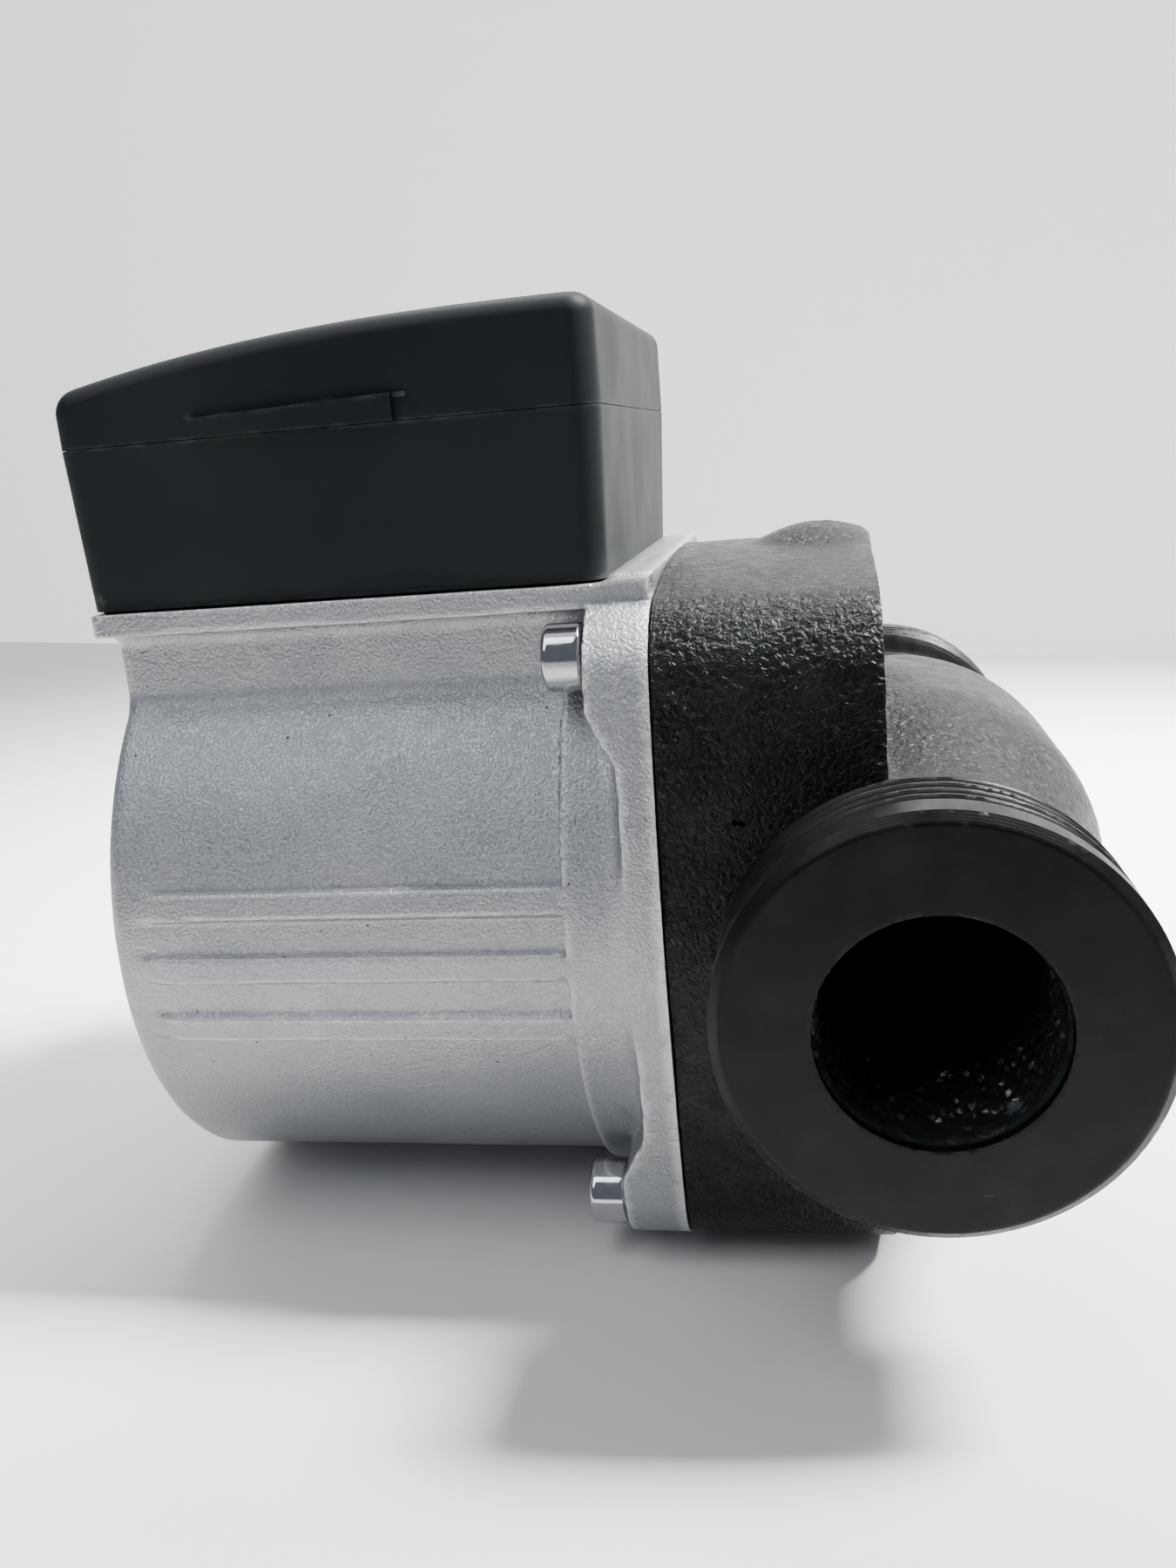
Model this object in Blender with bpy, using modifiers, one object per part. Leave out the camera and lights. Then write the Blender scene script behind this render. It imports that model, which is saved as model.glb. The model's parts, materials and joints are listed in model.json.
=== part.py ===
"""Wet-rotor circulator pump: in-line cast iron housing, canned motor and terminal box.

The pump's own axes: X along the shaft, with the motor towards -X and the cast
housing towards +X; Y along the pipe line; Z up through the terminal box.
Every piece is drawn from the point where the shaft axis crosses the joint face
between motor and housing, and the whole pump hangs on one empty at that point.
The scene's origin is the middle of the pump's base.
"""
import math

import bmesh
import bpy
from mathutils import Matrix, Vector

MM = 0.001

# ---- driving dimensions -------------------------------------------------------
PORT_TO_PORT = 130 * MM        # face to face along the pipe line
PORT_THREAD_R = 23.9 * MM      # G 1 1/2 pipe thread, outside radius
PORT_BORE_R = 13.1 * MM
PIPE_X = 30.2 * MM             # pipe line, measured from the joint face
AXIS_HEIGHT = 45.2 * MM        # shaft axis above the base
GAP = 0.3 * MM                 # clearance between neighbouring pieces

MOTOR_R = 44.25 * MM
MOTOR_LENGTH = 73.5 * MM
MOTOR_BORE_R = 41.0 * MM
MOTOR_END_WALL = 3.2 * MM
JOINT_FACE = GAP / 2           # each face of the joint stands this far off X = 0

FLANGE_MID = 46.0 * MM         # centre to side, at the middle of a side
FLANGE_ARC_R = 192 * MM        # the sides are shallow arcs
FLANGE_CORNER_R = 6.2 * MM
FLANGE_THICK = 4.2 * MM
BOSS_THICK = 8.0 * MM
BOLT_OFFSET = 36.5 * MM        # bolts stand on a 73 mm square
BOLT_R = 2.5 * MM
BOLT_HEAD_R = 4.25 * MM
BOLT_HEAD_LENGTH = 5.0 * MM
HOUSING_DEPTH = 26.6 * MM

PLATFORM_TOP = 45.0 * MM       # machined pad that carries the terminal box
PLATFORM_HALF = 35.2 * MM
PLATFORM_THICK = 2.9 * MM
NECK_HALF = 30.1 * MM

BOX_LEFT = -74.4 * MM
BOX_RIGHT = -4.8 * MM
BOX_HALF = 35.3 * MM
BOX_DRAFT = 1.0 * MM           # the box's foot is this much narrower than its rim
BOX_FLOOR = PLATFORM_TOP + GAP
BOX_SEAM = 65.6 * MM
BOX_WALL = 2.2 * MM
LID_CREST = 78.5 * MM

KNOB_HEIGHT = 56 * MM
KNOB_TIP = -82.5 * MM
BARREL_R = 26.3 * MM
GLAND_X = -58 * MM
GLAND_Z = 55.7 * MM

SHAFT_R = 4.0 * MM
ROTOR_R = 20.2 * MM
STACK = (-56 * MM, -20 * MM)   # stator and rotor iron, along the shaft
SLOTS = 12                     # slots in the stator iron
LEAD_PLACE = (-62 * MM, 20 * MM, 0.0)     # where the stator's leads come up
LID_SCREW_PLACE = (-14 * MM, 14 * MM)
FLOOR_SCREWS = [(-20 * MM, 3 * MM), (-50 * MM, 0.0), (-35 * MM, 3 * MM)]
SCREW_HOLE_R = 1.85 * MM       # clearance for the small screws, 3 mm across
SCREW_R = 1.5 * MM

# The middle of the pump's length stands over the origin.
JOINT_X = -(KNOB_TIP + PIPE_X + BARREL_R) / 2

UP = (0.0, 0.0, 0.0)
ALONG_X = (0.0, math.pi / 2, 0.0)
ALONG_Y = (-math.pi / 2, 0.0, 0.0)
SECTION_X = Matrix(((0, 0, 1), (1, 0, 0), (0, 1, 0))).to_euler()
SECTION_Y = (math.pi / 2, 0.0, 0.0)

for old in list(bpy.data.objects):
    bpy.data.objects.remove(old, do_unlink=True)

parts = bpy.data.collections.new("circulator_pump")
tools = bpy.data.collections.new("cutters")
bpy.context.scene.collection.children.link(parts)
bpy.context.scene.collection.children.link(tools)

centre = bpy.data.objects.new("shaft_axis_at_joint", None)
centre.location = (JOINT_X, 0.0, AXIS_HEIGHT)
parts.objects.link(centre)


# ---- materials ------------------------------------------------------------------
def finish(name, colour, roughness, metallic):
    """A plain Principled material."""
    made = bpy.data.materials.new(name)
    made.use_nodes = True
    shader = made.node_tree.nodes["Principled BSDF"]
    shader.inputs["Base Color"].default_value = (*colour, 1.0)
    shader.inputs["Roughness"].default_value = roughness
    shader.inputs["Metallic"].default_value = metallic
    return made


DIE_CAST = finish("die_cast_aluminium", (0.60, 0.61, 0.64), 0.42, 1.0)
CAST_IRON = finish("coated_cast_iron", (0.018, 0.020, 0.022), 0.38, 0.0)
BOX_PLASTIC = finish("black_plastic", (0.022, 0.027, 0.029), 0.50, 0.0)
CHROME = finish("plated_steel", (0.75, 0.75, 0.76), 0.12, 1.0)
STAINLESS = finish("stainless_steel", (0.56, 0.56, 0.57), 0.30, 1.0)
BRASS = finish("brass", (0.70, 0.52, 0.24), 0.30, 1.0)
COPPER = finish("enamelled_copper", (0.55, 0.22, 0.09), 0.35, 1.0)
LAMINATION = finish("electrical_steel", (0.30, 0.30, 0.32), 0.45, 1.0)
CERAMIC = finish("ceramic", (0.86, 0.84, 0.80), 0.25, 0.0)
CARBON = finish("carbon_graphite", (0.05, 0.05, 0.055), 0.45, 0.0)
RUBBER = finish("black_rubber", (0.02, 0.02, 0.02), 0.75, 0.0)
COMPOSITE = finish("impeller_composite", (0.28, 0.27, 0.24), 0.50, 0.0)
PALE_PLASTIC = finish("pale_plastic", (0.78, 0.78, 0.75), 0.45, 0.0)
GREY_PLASTIC = finish("grey_plastic", (0.22, 0.23, 0.24), 0.50, 0.0)
PLATE = finish("plate", (0.72, 0.73, 0.75), 0.35, 1.0)
WIRE = finish("wire_sleeve", (0.45, 0.06, 0.05), 0.50, 0.0)


# ---- modelling helpers ------------------------------------------------------------
def place(obj, at, turn, material=None):
    """Hang an object on the pump's centre; with no material it is a cutter."""
    obj.parent = centre
    obj.location = at
    obj.rotation_euler = turn
    if material is None:
        obj.hide_render = True
        obj.display_type = "WIRE"
        tools.objects.link(obj)
    else:
        obj.data.materials.append(material)
        obj.data.shade_smooth()
        obj.data.set_sharp_from_angle(angle=math.radians(32))
        parts.objects.link(obj)
    return obj


def turned(name, profile, steps, at=(0, 0, 0), turn=ALONG_X, material=None):
    """Revolve a closed (radius, height) outline about the object's own Z axis."""
    area = sum(a[0] * b[1] - b[0] * a[1] for a, b in zip(profile, profile[1:] + profile[:1]))
    if area > 0:
        profile = profile[::-1]
    on_axis = [i for i, point in enumerate(profile) if point[0] == 0.0]
    closed = not on_axis
    if on_axis:
        # An outline that touches the axis runs from its one axis point to the other.
        first = next(i for i in on_axis if profile[(i + 1) % len(profile)][0] > 0.0)
        profile = profile[first:] + profile[:first]
    mesh = bpy.data.meshes.new(name)
    count = len(profile)
    edges = [(i, i + 1) for i in range(count - 1)]
    if closed:
        edges.append((count - 1, 0))
    mesh.from_pydata([(r, 0.0, h) for r, h in profile], edges, [])
    obj = place(bpy.data.objects.new(name, mesh), at, turn, material)
    screw = obj.modifiers.new("turn", "SCREW")
    screw.steps = steps
    screw.render_steps = steps
    screw.use_merge_vertices = True
    screw.merge_threshold = 1e-6
    screw.use_smooth_shade = True
    return obj


def ring(name, inner, outer, low, high, steps, at=(0, 0, 0), turn=ALONG_X, material=None):
    """A plain ring or bush; an inner radius of zero makes a rod."""
    outline = [(inner, low), (outer, low), (outer, high), (inner, high)]
    return turned(name, outline, steps, at, turn, material)


def round_section(radius, thickness, mid, count):
    """Outline of a round cord ring, for turning."""
    points = []
    for i in range(count):
        a = 2 * math.pi * i / count
        points.append((radius + thickness * math.cos(a), mid + thickness * math.sin(a)))
    return points


def plate(name, outlines, low, high, turn=UP, at=(0, 0, 0), material=None):
    """A flat outline, with any holes, given a thickness between two heights."""
    curve = bpy.data.curves.new(name, "CURVE")
    curve.dimensions = "2D"
    curve.fill_mode = "BOTH"
    curve.extrude = (high - low) / 2
    for outline in outlines:
        spline = curve.splines.new("POLY")
        spline.points.add(len(outline) - 1)
        spline.use_cyclic_u = True
        for point, (u, v) in zip(spline.points, outline):
            point.co = (u, v, 0.0, 1.0)
    flat = bpy.data.objects.new(name + "_outline", curve)
    tools.objects.link(flat)
    graph = bpy.context.evaluated_depsgraph_get()
    mesh = bpy.data.meshes.new_from_object(flat.evaluated_get(graph))
    bpy.data.objects.remove(flat, do_unlink=True)
    made = bmesh.new()
    made.from_mesh(mesh)
    bmesh.ops.remove_doubles(made, verts=made.verts, dist=1e-7)
    bmesh.ops.translate(made, verts=made.verts, vec=(0, 0, (high + low) / 2))
    bmesh.ops.dissolve_limit(made, angle_limit=0.01, verts=made.verts, edges=made.edges)
    bmesh.ops.recalc_face_normals(made, faces=made.faces)
    made.to_mesh(mesh)
    made.free()
    mesh.name = name
    return place(bpy.data.objects.new(name, mesh), at, turn, material)


def boxes(name, corners, material=None, bevel=0.0, segments=2):
    """One or more boxes, each given by its low and high corner, as one object."""
    made = bmesh.new()
    for low, high in corners:
        low, high = Vector(low), Vector(high)
        size = high - low
        shape = Matrix.Translation((low + high) / 2) @ Matrix.Diagonal((*size, 1.0))
        bmesh.ops.create_cube(made, size=1.0, matrix=shape)
    mesh = bpy.data.meshes.new(name)
    made.to_mesh(mesh)
    made.free()
    obj = place(bpy.data.objects.new(name, mesh), (0, 0, 0), UP, material)
    if bevel:
        round_edges(obj, bevel, segments)
    return obj


def round_edges(obj, width, segments, angle=40):
    """Round every edge sharper than an angle."""
    bevel = obj.modifiers.new("round", "BEVEL")
    bevel.width = width
    bevel.segments = segments
    bevel.limit_method = "ANGLE"
    bevel.angle_limit = math.radians(angle)


def upright_edges(obj, width, segments):
    """Round only the edges that run along X."""
    made = bmesh.new()
    made.from_mesh(obj.data)
    along = [e for e in made.edges if abs(e.verts[0].co.x - e.verts[1].co.x) > 1 * MM]
    bmesh.ops.bevel(made, geom=along, offset=width, segments=segments, profile=0.5, affect="EDGES")
    made.to_mesh(obj.data)
    made.free()


def combine(obj, other, operation):
    """Boolean with a hidden tool."""
    change = obj.modifiers.new(operation.lower(), "BOOLEAN")
    change.operation = operation
    change.solver = "EXACT"
    change.object = other


def join(obj, *others):
    for other in others:
        combine(obj, other, "UNION")


def cut(obj, *others):
    for other in others:
        combine(obj, other, "DIFFERENCE")


def arc(u, v, radius, start, end, count):
    """Points along an arc, in degrees, both ends included."""
    points = []
    for i in range(count + 1):
        a = math.radians(start + (end - start) * i / count)
        points.append((u + radius * math.cos(a), v + radius * math.sin(a)))
    return points


def rounded_rectangle(left, right, low, high, radius, count=4):
    """Outline with round corners."""
    return (
        arc(right - radius, low + radius, radius, -90, 0, count)
        + arc(right - radius, high - radius, radius, 0, 90, count)
        + arc(left + radius, high - radius, radius, 90, 180, count)
        + arc(left + radius, low + radius, radius, 180, 270, count)
    )


def hexagon(across_flats):
    """Outline of a hexagon."""
    radius = across_flats / math.sqrt(3)
    return arc(0.0, 0.0, radius, 0, 300, 5)


def arched_square(top=FLANGE_MID):
    """The joint outline: four shallow arcs and four round corners, flat at the base."""
    back = FLANGE_ARC_R - FLANGE_MID
    reach = FLANGE_ARC_R - FLANGE_CORNER_R
    corner = (-back + math.sqrt(2 * reach * reach - back * back)) / 2
    swing = math.degrees(math.atan2(corner, corner + back))
    points = []
    for quarter in range(4):
        turn = 90 * quarter
        side = arc(-back, 0.0, FLANGE_ARC_R, -swing, swing, 10)
        bend = arc(corner, corner, FLANGE_CORNER_R, swing, 90 - swing, 5)[1:-1]
        spin = Matrix.Rotation(math.radians(turn), 2)
        points += [tuple(spin @ Vector(point)) for point in side + bend]
    return [(y, min(max(z, -AXIS_HEIGHT), top)) for y, z in points]


def four_corners(distance):
    """The four bolt places, as (y, z)."""
    return [(y, z) for z in (distance, -distance) for y in (-distance, distance)]


def bolt_holes(low, high):
    """Clearance holes for the four bolts, as one cutter."""
    rod = BOLT_R + GAP
    return [
        ring(f"bolt_hole_{i}", 0.0, rod, low, high, 16, at=(0, y, z))
        for i, (y, z) in enumerate(four_corners(BOLT_OFFSET))
    ]


def screw_holes(name, spots, low, high):
    """Upright clearance holes for small screws, as cutters."""
    return [
        ring(f"{name}_{i}", 0.0, SCREW_HOLE_R, low, high, 12, at=(x, y, 0), turn=UP)
        for i, (x, y) in enumerate(spots)
    ]


# ---- cast pump housing --------------------------------------------------------------
def pump_housing():
    """Volute block with two threaded in-line ports and the suction elbow behind."""
    chamber_r = 38 * MM
    eye_face = 12.6 * MM
    eye_r = 15.9 * MM
    thread_length = 17 * MM
    half = PORT_TO_PORT / 2
    housing = plate("pump_housing", [arched_square()], JOINT_FACE, HOUSING_DEPTH,
                    SECTION_X, material=CAST_IRON)
    dome_r, dome_depth, dome_root = 27.5 * MM, 18 * MM, HOUSING_DEPTH - 4 * MM
    dome = [(0.0, dome_root), (dome_r, dome_root)]
    for degrees in range(0, 90, 11):
        a = math.radians(degrees)
        dome.append((dome_r * math.cos(a), HOUSING_DEPTH + dome_depth * math.sin(a)))
    dome.append((0.0, HOUSING_DEPTH + dome_depth))
    join(housing, turned("volute_back", dome, 36))

    chamfer = 0.6 * MM
    port = [
        (0.0, half),
        (PORT_THREAD_R - chamfer, half),
        (PORT_THREAD_R, half - chamfer),
        (PORT_THREAD_R, half - thread_length),
        (20.5 * MM, half - thread_length - 2.5 * MM),
        (21.0 * MM, 36 * MM),
        (24.2 * MM, 25 * MM),
        (BARREL_R, 13 * MM),
    ]
    barrel = [(r, -h) for r, h in port] + port[::-1]
    join(housing, turned("pipe_barrel", barrel, 40, at=(PIPE_X, 0, 0), turn=ALONG_Y))

    boss = [(0.0, 42 * MM), (6.0 * MM, 42 * MM), (6.0 * MM, 46.8 * MM), (4.6 * MM, 48.2 * MM),
            (3.2 * MM, 48.4 * MM), (2.6 * MM, 47.6 * MM), (0.0, 47.6 * MM)]
    join(housing, turned("top_boss", boss, 24, at=(20.4 * MM, 0, 0), turn=UP))

    chamber = ring("chamber", 0.0, chamber_r, eye_face - 1 * MM, HOUSING_DEPTH - 4.4 * MM, 40)
    elbow = [(0.0, -half), (18 * MM, -half), (19 * MM, -30 * MM), (23.2 * MM, -20 * MM),
             (23.2 * MM, 8 * MM), (17 * MM, 16 * MM), (0.0, 17.5 * MM)]
    cut(chamber, turned("elbow_wall", elbow, 28, at=(PIPE_X, 0, 0), turn=ALONG_Y))
    cut(chamber, ring("eye_wall", 0.0, eye_r + 3.6 * MM, eye_face, PIPE_X, 28))
    cut(housing, ring("impeller_space", 0.0, chamber_r + 0.4 * MM, -5 * MM, eye_face, 44))
    cut(housing, chamber)
    cut(housing, ring("eye_passage", 0.0, eye_r, eye_face - 1 * MM, PIPE_X, 28))
    suction = [(0.0, -half - 5 * MM), (PORT_BORE_R, -half - 5 * MM), (PORT_BORE_R, -34 * MM),
               (14.8 * MM, -22 * MM), (15.5 * MM, -8 * MM), (15.0 * MM, 6 * MM),
               (11 * MM, 12 * MM), (0.0, 13.3 * MM)]
    cut(housing, turned("suction_way", suction, 28, at=(PIPE_X, 0, 0), turn=ALONG_Y))
    delivery = [(0.0, 21.3 * MM), (PORT_BORE_R, 21.3 * MM), (PORT_BORE_R, half + 5 * MM),
                (0.0, half + 5 * MM)]
    cut(housing, turned("delivery_way", delivery, 30, at=(PIPE_X, 0, 0), turn=ALONG_Y))
    cut(housing, *bolt_holes(-3 * MM, 14 * MM))


def wear_ring():
    """Stainless ring that the impeller's eye runs in."""
    ring("wear_ring", 14.3 * MM, 15.6 * MM, 12.9 * MM, 16.5 * MM, 32, material=STAINLESS)


# ---- motor housing --------------------------------------------------------------------
def motor_housing():
    """Die-cast shell: barrel, ribs, flange with bolt bosses, neck and terminal pad."""
    edge = 2.4 * MM
    collar_r = FLANGE_MID
    fillet = 3.0 * MM
    seat_r = 43.2 * MM
    seat_depth = 3.9 * MM
    flange_top = PLATFORM_TOP - 0.2 * MM
    barrel = [(0.0, -MOTOR_LENGTH)]
    barrel += [(MOTOR_R + u, -MOTOR_LENGTH + v)
               for u, v in arc(-edge, edge, edge, -90, 0, 4)]
    barrel += [(MOTOR_R, -JOINT_FACE - 0.5 * MM), (0.0, -JOINT_FACE - 0.5 * MM)]
    shell = turned("motor_housing", barrel, 60, material=DIE_CAST)

    under = PLATFORM_TOP - PLATFORM_THICK
    right = [(0.0, 20 * MM), (NECK_HALF, 20 * MM), (NECK_HALF, under - 2.6 * MM)]
    right += arc(NECK_HALF + 2.6 * MM, under - 2.6 * MM, 2.6 * MM, 180, 90, 4)[1:]
    right += [(PLATFORM_HALF - 0.5 * MM, under + 0.2 * MM), (PLATFORM_HALF, under + 0.7 * MM),
              (PLATFORM_HALF, PLATFORM_TOP), (0.0, PLATFORM_TOP)]
    left = [(-y, z) for y, z in right[::-1] if y > 0.0]
    neck = plate("neck_and_pad", [right + left], -MOTOR_LENGTH - 0.1 * MM, -0.5 * MM, SECTION_X)
    join(shell, neck)

    for side in (-1, 1):
        for step in (-1, 0, 1):
            tilt = math.radians(11 * step)
            low = (-69.5 * MM, -1.7 * MM, MOTOR_R - 2 * MM)
            high = (-11.9 * MM, 1.7 * MM, MOTOR_R + 0.9 * MM)
            rib = boxes(f"rib_{side}_{step}", [(low, high)], bevel=0.8 * MM, segments=1)
            rib.rotation_euler = (side * (math.pi / 2 + tilt), 0.0, 0.0)
            join(shell, rib)

    skirt = [(0.0, -JOINT_FACE), (70 * MM, -JOINT_FACE), (70 * MM, -FLANGE_THICK)]
    skirt += [(collar_r + fillet + u, -FLANGE_THICK - fillet + v)
              for u, v in arc(0, 0, fillet, 90, 180, 4)]
    skirt += [(collar_r, -11.6 * MM), (collar_r - 0.6 * MM, -12.2 * MM), (0.0, -12.2 * MM)]
    flange = turned("flange_skirt", skirt, 60)
    start, far = 27.3 * MM, 60 * MM
    bosses = boxes("bolt_bosses", [
        ((-BOSS_THICK, min(y * start, y * far), min(z * start, z * far)),
         (-1 * MM, max(y * start, y * far), max(z * start, z * far)))
        for y in (-1, 1) for z in (-1, 1)
    ])
    upright_edges(bosses, 7 * MM, 4)
    join(flange, bosses)
    outline = plate("flange_outline", [arched_square(flange_top)], -14 * MM,
                    -JOINT_FACE, SECTION_X)
    combine(flange, outline, "INTERSECT")
    join(shell, flange)

    end_wall = -MOTOR_LENGTH + MOTOR_END_WALL
    inner = [(0.0, end_wall), (MOTOR_BORE_R, end_wall), (MOTOR_BORE_R, -seat_depth),
             (seat_r, -seat_depth), (seat_r, 2 * MM), (0.0, 2 * MM)]
    cut(shell, turned("motor_bore", inner, 48))
    cut(shell, ring("vent_hole", 0.0, 8.7 * MM, -80 * MM, -65 * MM, 24))
    cut(shell, *bolt_holes(-20 * MM, 3 * MM))
    cut(shell, ring("lead_hole", 0.0, 4.9 * MM, 30 * MM, 50 * MM, 16, at=LEAD_PLACE, turn=UP))
    cut(shell, *screw_holes("pad_hole", FLOOR_SCREWS, 41.9 * MM, 50 * MM))


def nameplate():
    """Blank ring-shaped plate on the motor's end."""
    low, high = -MOTOR_LENGTH - 0.8 * MM, -MOTOR_LENGTH - GAP
    ring("nameplate", 13 * MM, 33 * MM, low, high, 40, material=PLATE)


def vent_screw():
    """Slotted bleed screw on the shaft's centre line, with its flat seal."""
    face = -MOTOR_LENGTH
    head_r = 10.4 * MM
    ring("vent_seal", 7.65 * MM, 10.0 * MM, face - 0.9 * MM, face - GAP, 28, material=RUBBER)
    shank_r, tip, crown = 7.3 * MM, -68.6 * MM, -77.8 * MM
    outline = [(0.0, crown), (head_r - 0.8 * MM, crown), (head_r, crown + 0.8 * MM),
               (head_r, face - 1.2 * MM), (shank_r, face - 1.2 * MM), (shank_r, tip), (0.0, tip)]
    screw = turned("vent_screw", outline, 28, material=CHROME)
    slot = [((-80 * MM, -13 * MM, -1.1 * MM), (-76.3 * MM, 13 * MM, 1.1 * MM))]
    cut(screw, boxes("vent_slot", slot))


def flange_bolts():
    """Four socket-head bolts that clamp the motor to the housing."""
    seat = -BOSS_THICK - GAP
    head = seat - BOLT_HEAD_LENGTH
    for i, (y, z) in enumerate(four_corners(BOLT_OFFSET)):
        outline = [(0.0, head), (BOLT_HEAD_R - 0.7 * MM, head), (BOLT_HEAD_R, head + 0.7 * MM),
                   (BOLT_HEAD_R, seat), (BOLT_R, seat), (BOLT_R, 12.5 * MM), (0.0, 12.5 * MM)]
        bolt = turned(f"flange_bolt_{i + 1}", outline, 20, at=(0, y, z), material=CHROME)
        socket = plate(f"bolt_socket_{i}", [hexagon(4 * MM)], head - 1 * MM, head + 2.5 * MM,
                       SECTION_X, at=(0, y, z))
        cut(bolt, socket)


# ---- wet end: can, bearings, rotor and impeller -----------------------------------------
def rotor_can():
    """Thin stainless can that keeps the water out of the windings."""
    outline = [
        (42.9 * MM, -3.6 * MM), (42.9 * MM, -2.8 * MM), (20.9 * MM, -2.8 * MM),
        (20.9 * MM, -58.5 * MM), (7.7 * MM, -58.5 * MM), (7.7 * MM, -72.4 * MM),
        (8.3 * MM, -72.4 * MM), (8.3 * MM, -59.1 * MM), (21.5 * MM, -59.1 * MM),
        (21.5 * MM, -3.6 * MM),
    ]
    turned("rotor_can", outline, 32, material=STAINLESS)


def bearing_plate():
    """Pressed plate with a hub that carries the front bearing."""
    outline = [
        (36 * MM, -2.5 * MM), (36 * MM, -1.3 * MM), (7.5 * MM, -1.3 * MM),
        (7.5 * MM, -13 * MM), (8.7 * MM, -13 * MM), (8.7 * MM, -2.5 * MM),
    ]
    turned("bearing_plate", outline, 32, material=STAINLESS)
    ring("front_bearing", SHAFT_R + GAP, 7.2 * MM, -12 * MM, -2 * MM, 24, material=CARBON)
    ring("thrust_ring", SHAFT_R + GAP, 8.2 * MM, -18.5 * MM, -14 * MM, 24, material=CERAMIC)
    ring("rear_bearing", SHAFT_R + GAP, 7.4 * MM, -66 * MM, -60 * MM, 24, material=CARBON)
    turned("housing_o_ring", round_section(40 * MM, 1.1 * MM, -1.25 * MM, 6), 36, material=RUBBER)


def rotor():
    """Hollow ceramic shaft and the rotor iron on it."""
    ring("shaft", 1.2 * MM, SHAFT_R, -67 * MM, 12.5 * MM, 24, material=CERAMIC)
    low, high = STACK
    outline = [(SHAFT_R + GAP, low), (ROTOR_R - 1 * MM, low), (ROTOR_R, low + 1 * MM),
               (ROTOR_R, high - 1 * MM), (ROTOR_R - 1 * MM, high), (SHAFT_R + GAP, high)]
    turned("rotor_core", outline, 32, material=STAINLESS)


def blade_outline(start, end, sweep, thickness):
    """A backward-swept blade, as a strip along a spiral."""
    sides = ([], [])
    steps = 6
    for i in range(steps + 1):
        part = i / steps
        radius = start + (end - start) * part
        angle = -math.radians(sweep) * part
        for side, offset in zip(sides, (-0.5, 0.5)):
            across = angle + offset * thickness / radius
            side.append((radius * math.cos(across), radius * math.sin(across)))
    return sides[0] + sides[1][::-1]


def impeller():
    """Closed impeller: hub, back disc and swept blades, with a separate front shroud."""
    back, rim = 1.2 * MM, 28 * MM
    disc = back + 1.4 * MM
    outline = [(SHAFT_R + GAP, back), (rim, back), (rim, disc), (8 * MM, disc),
               (6.5 * MM, 4.5 * MM), (6.5 * MM, 12 * MM), (SHAFT_R + GAP, 12 * MM)]
    wheel = turned("impeller", outline, 36, material=COMPOSITE)
    blades = 7
    for i in range(blades):
        strip = blade_outline(8.5 * MM, 27.4 * MM, 62, 1.5 * MM)
        blade = plate(f"blade_{i}", [strip], back + 0.6 * MM, 9.3 * MM, SECTION_X)
        blade.rotation_euler = (
            Matrix.Rotation(2 * math.pi * i / blades, 3, "X") @ blade.rotation_euler.to_matrix()
        ).to_euler()
        join(wheel, blade)
    shroud = [(12.4 * MM, 9.6 * MM), (rim, 9.6 * MM), (rim, 10.8 * MM), (15.0 * MM, 11.0 * MM),
              (13.9 * MM, 12.0 * MM), (13.9 * MM, 16.0 * MM), (12.4 * MM, 16.0 * MM)]
    turned("impeller_shroud", shroud, 36, material=COMPOSITE)


# ---- stator -------------------------------------------------------------------------------
def stator():
    """Slotted iron ring and one winding cage: bars in the slots, end turns at each end."""
    low, high = STACK
    outer = arc(0, 0, 40.6 * MM, 0, 352.5, 47)
    bore = arc(0, 0, 21.9 * MM, 0, 350, 35)
    slots = []
    for i in range(SLOTS):
        spin = Matrix.Rotation(2 * math.pi * i / SLOTS, 2)
        slot = [(24 * MM, -2.4 * MM), (34 * MM, -3.6 * MM),
                (34 * MM, 3.6 * MM), (24 * MM, 2.4 * MM)]
        slots.append([tuple(spin @ Vector(point)) for point in slot])
    plate("stator_core", [outer, bore] + slots, low, high, SECTION_X, material=LAMINATION)

    def end_turns(name, inner_face, outer_face, material=None):
        lift = (outer_face - inner_face) / 4
        outline = [(24.5 * MM, inner_face), (34 * MM, inner_face), (37.5 * MM, inner_face + lift),
                   (37 * MM, outer_face - lift), (33 * MM, outer_face), (26 * MM, outer_face),
                   (23.4 * MM, outer_face - lift)]
        return turned(name, outline, 30, material=material)

    winding = end_turns("stator_winding", high + 0.8 * MM, -8.5 * MM, COPPER)
    join(winding, end_turns("rear_turns", low - 0.8 * MM, -67.5 * MM))
    for i in range(SLOTS):
        bar = boxes(f"slot_bar_{i}", [((low - 2 * MM, 24.9 * MM, -1.9 * MM),
                                       (high + 2 * MM, 33.4 * MM, 1.9 * MM))])
        bar.rotation_euler = (2 * math.pi * i / SLOTS, 0.0, 0.0)
        join(winding, bar)


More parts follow.
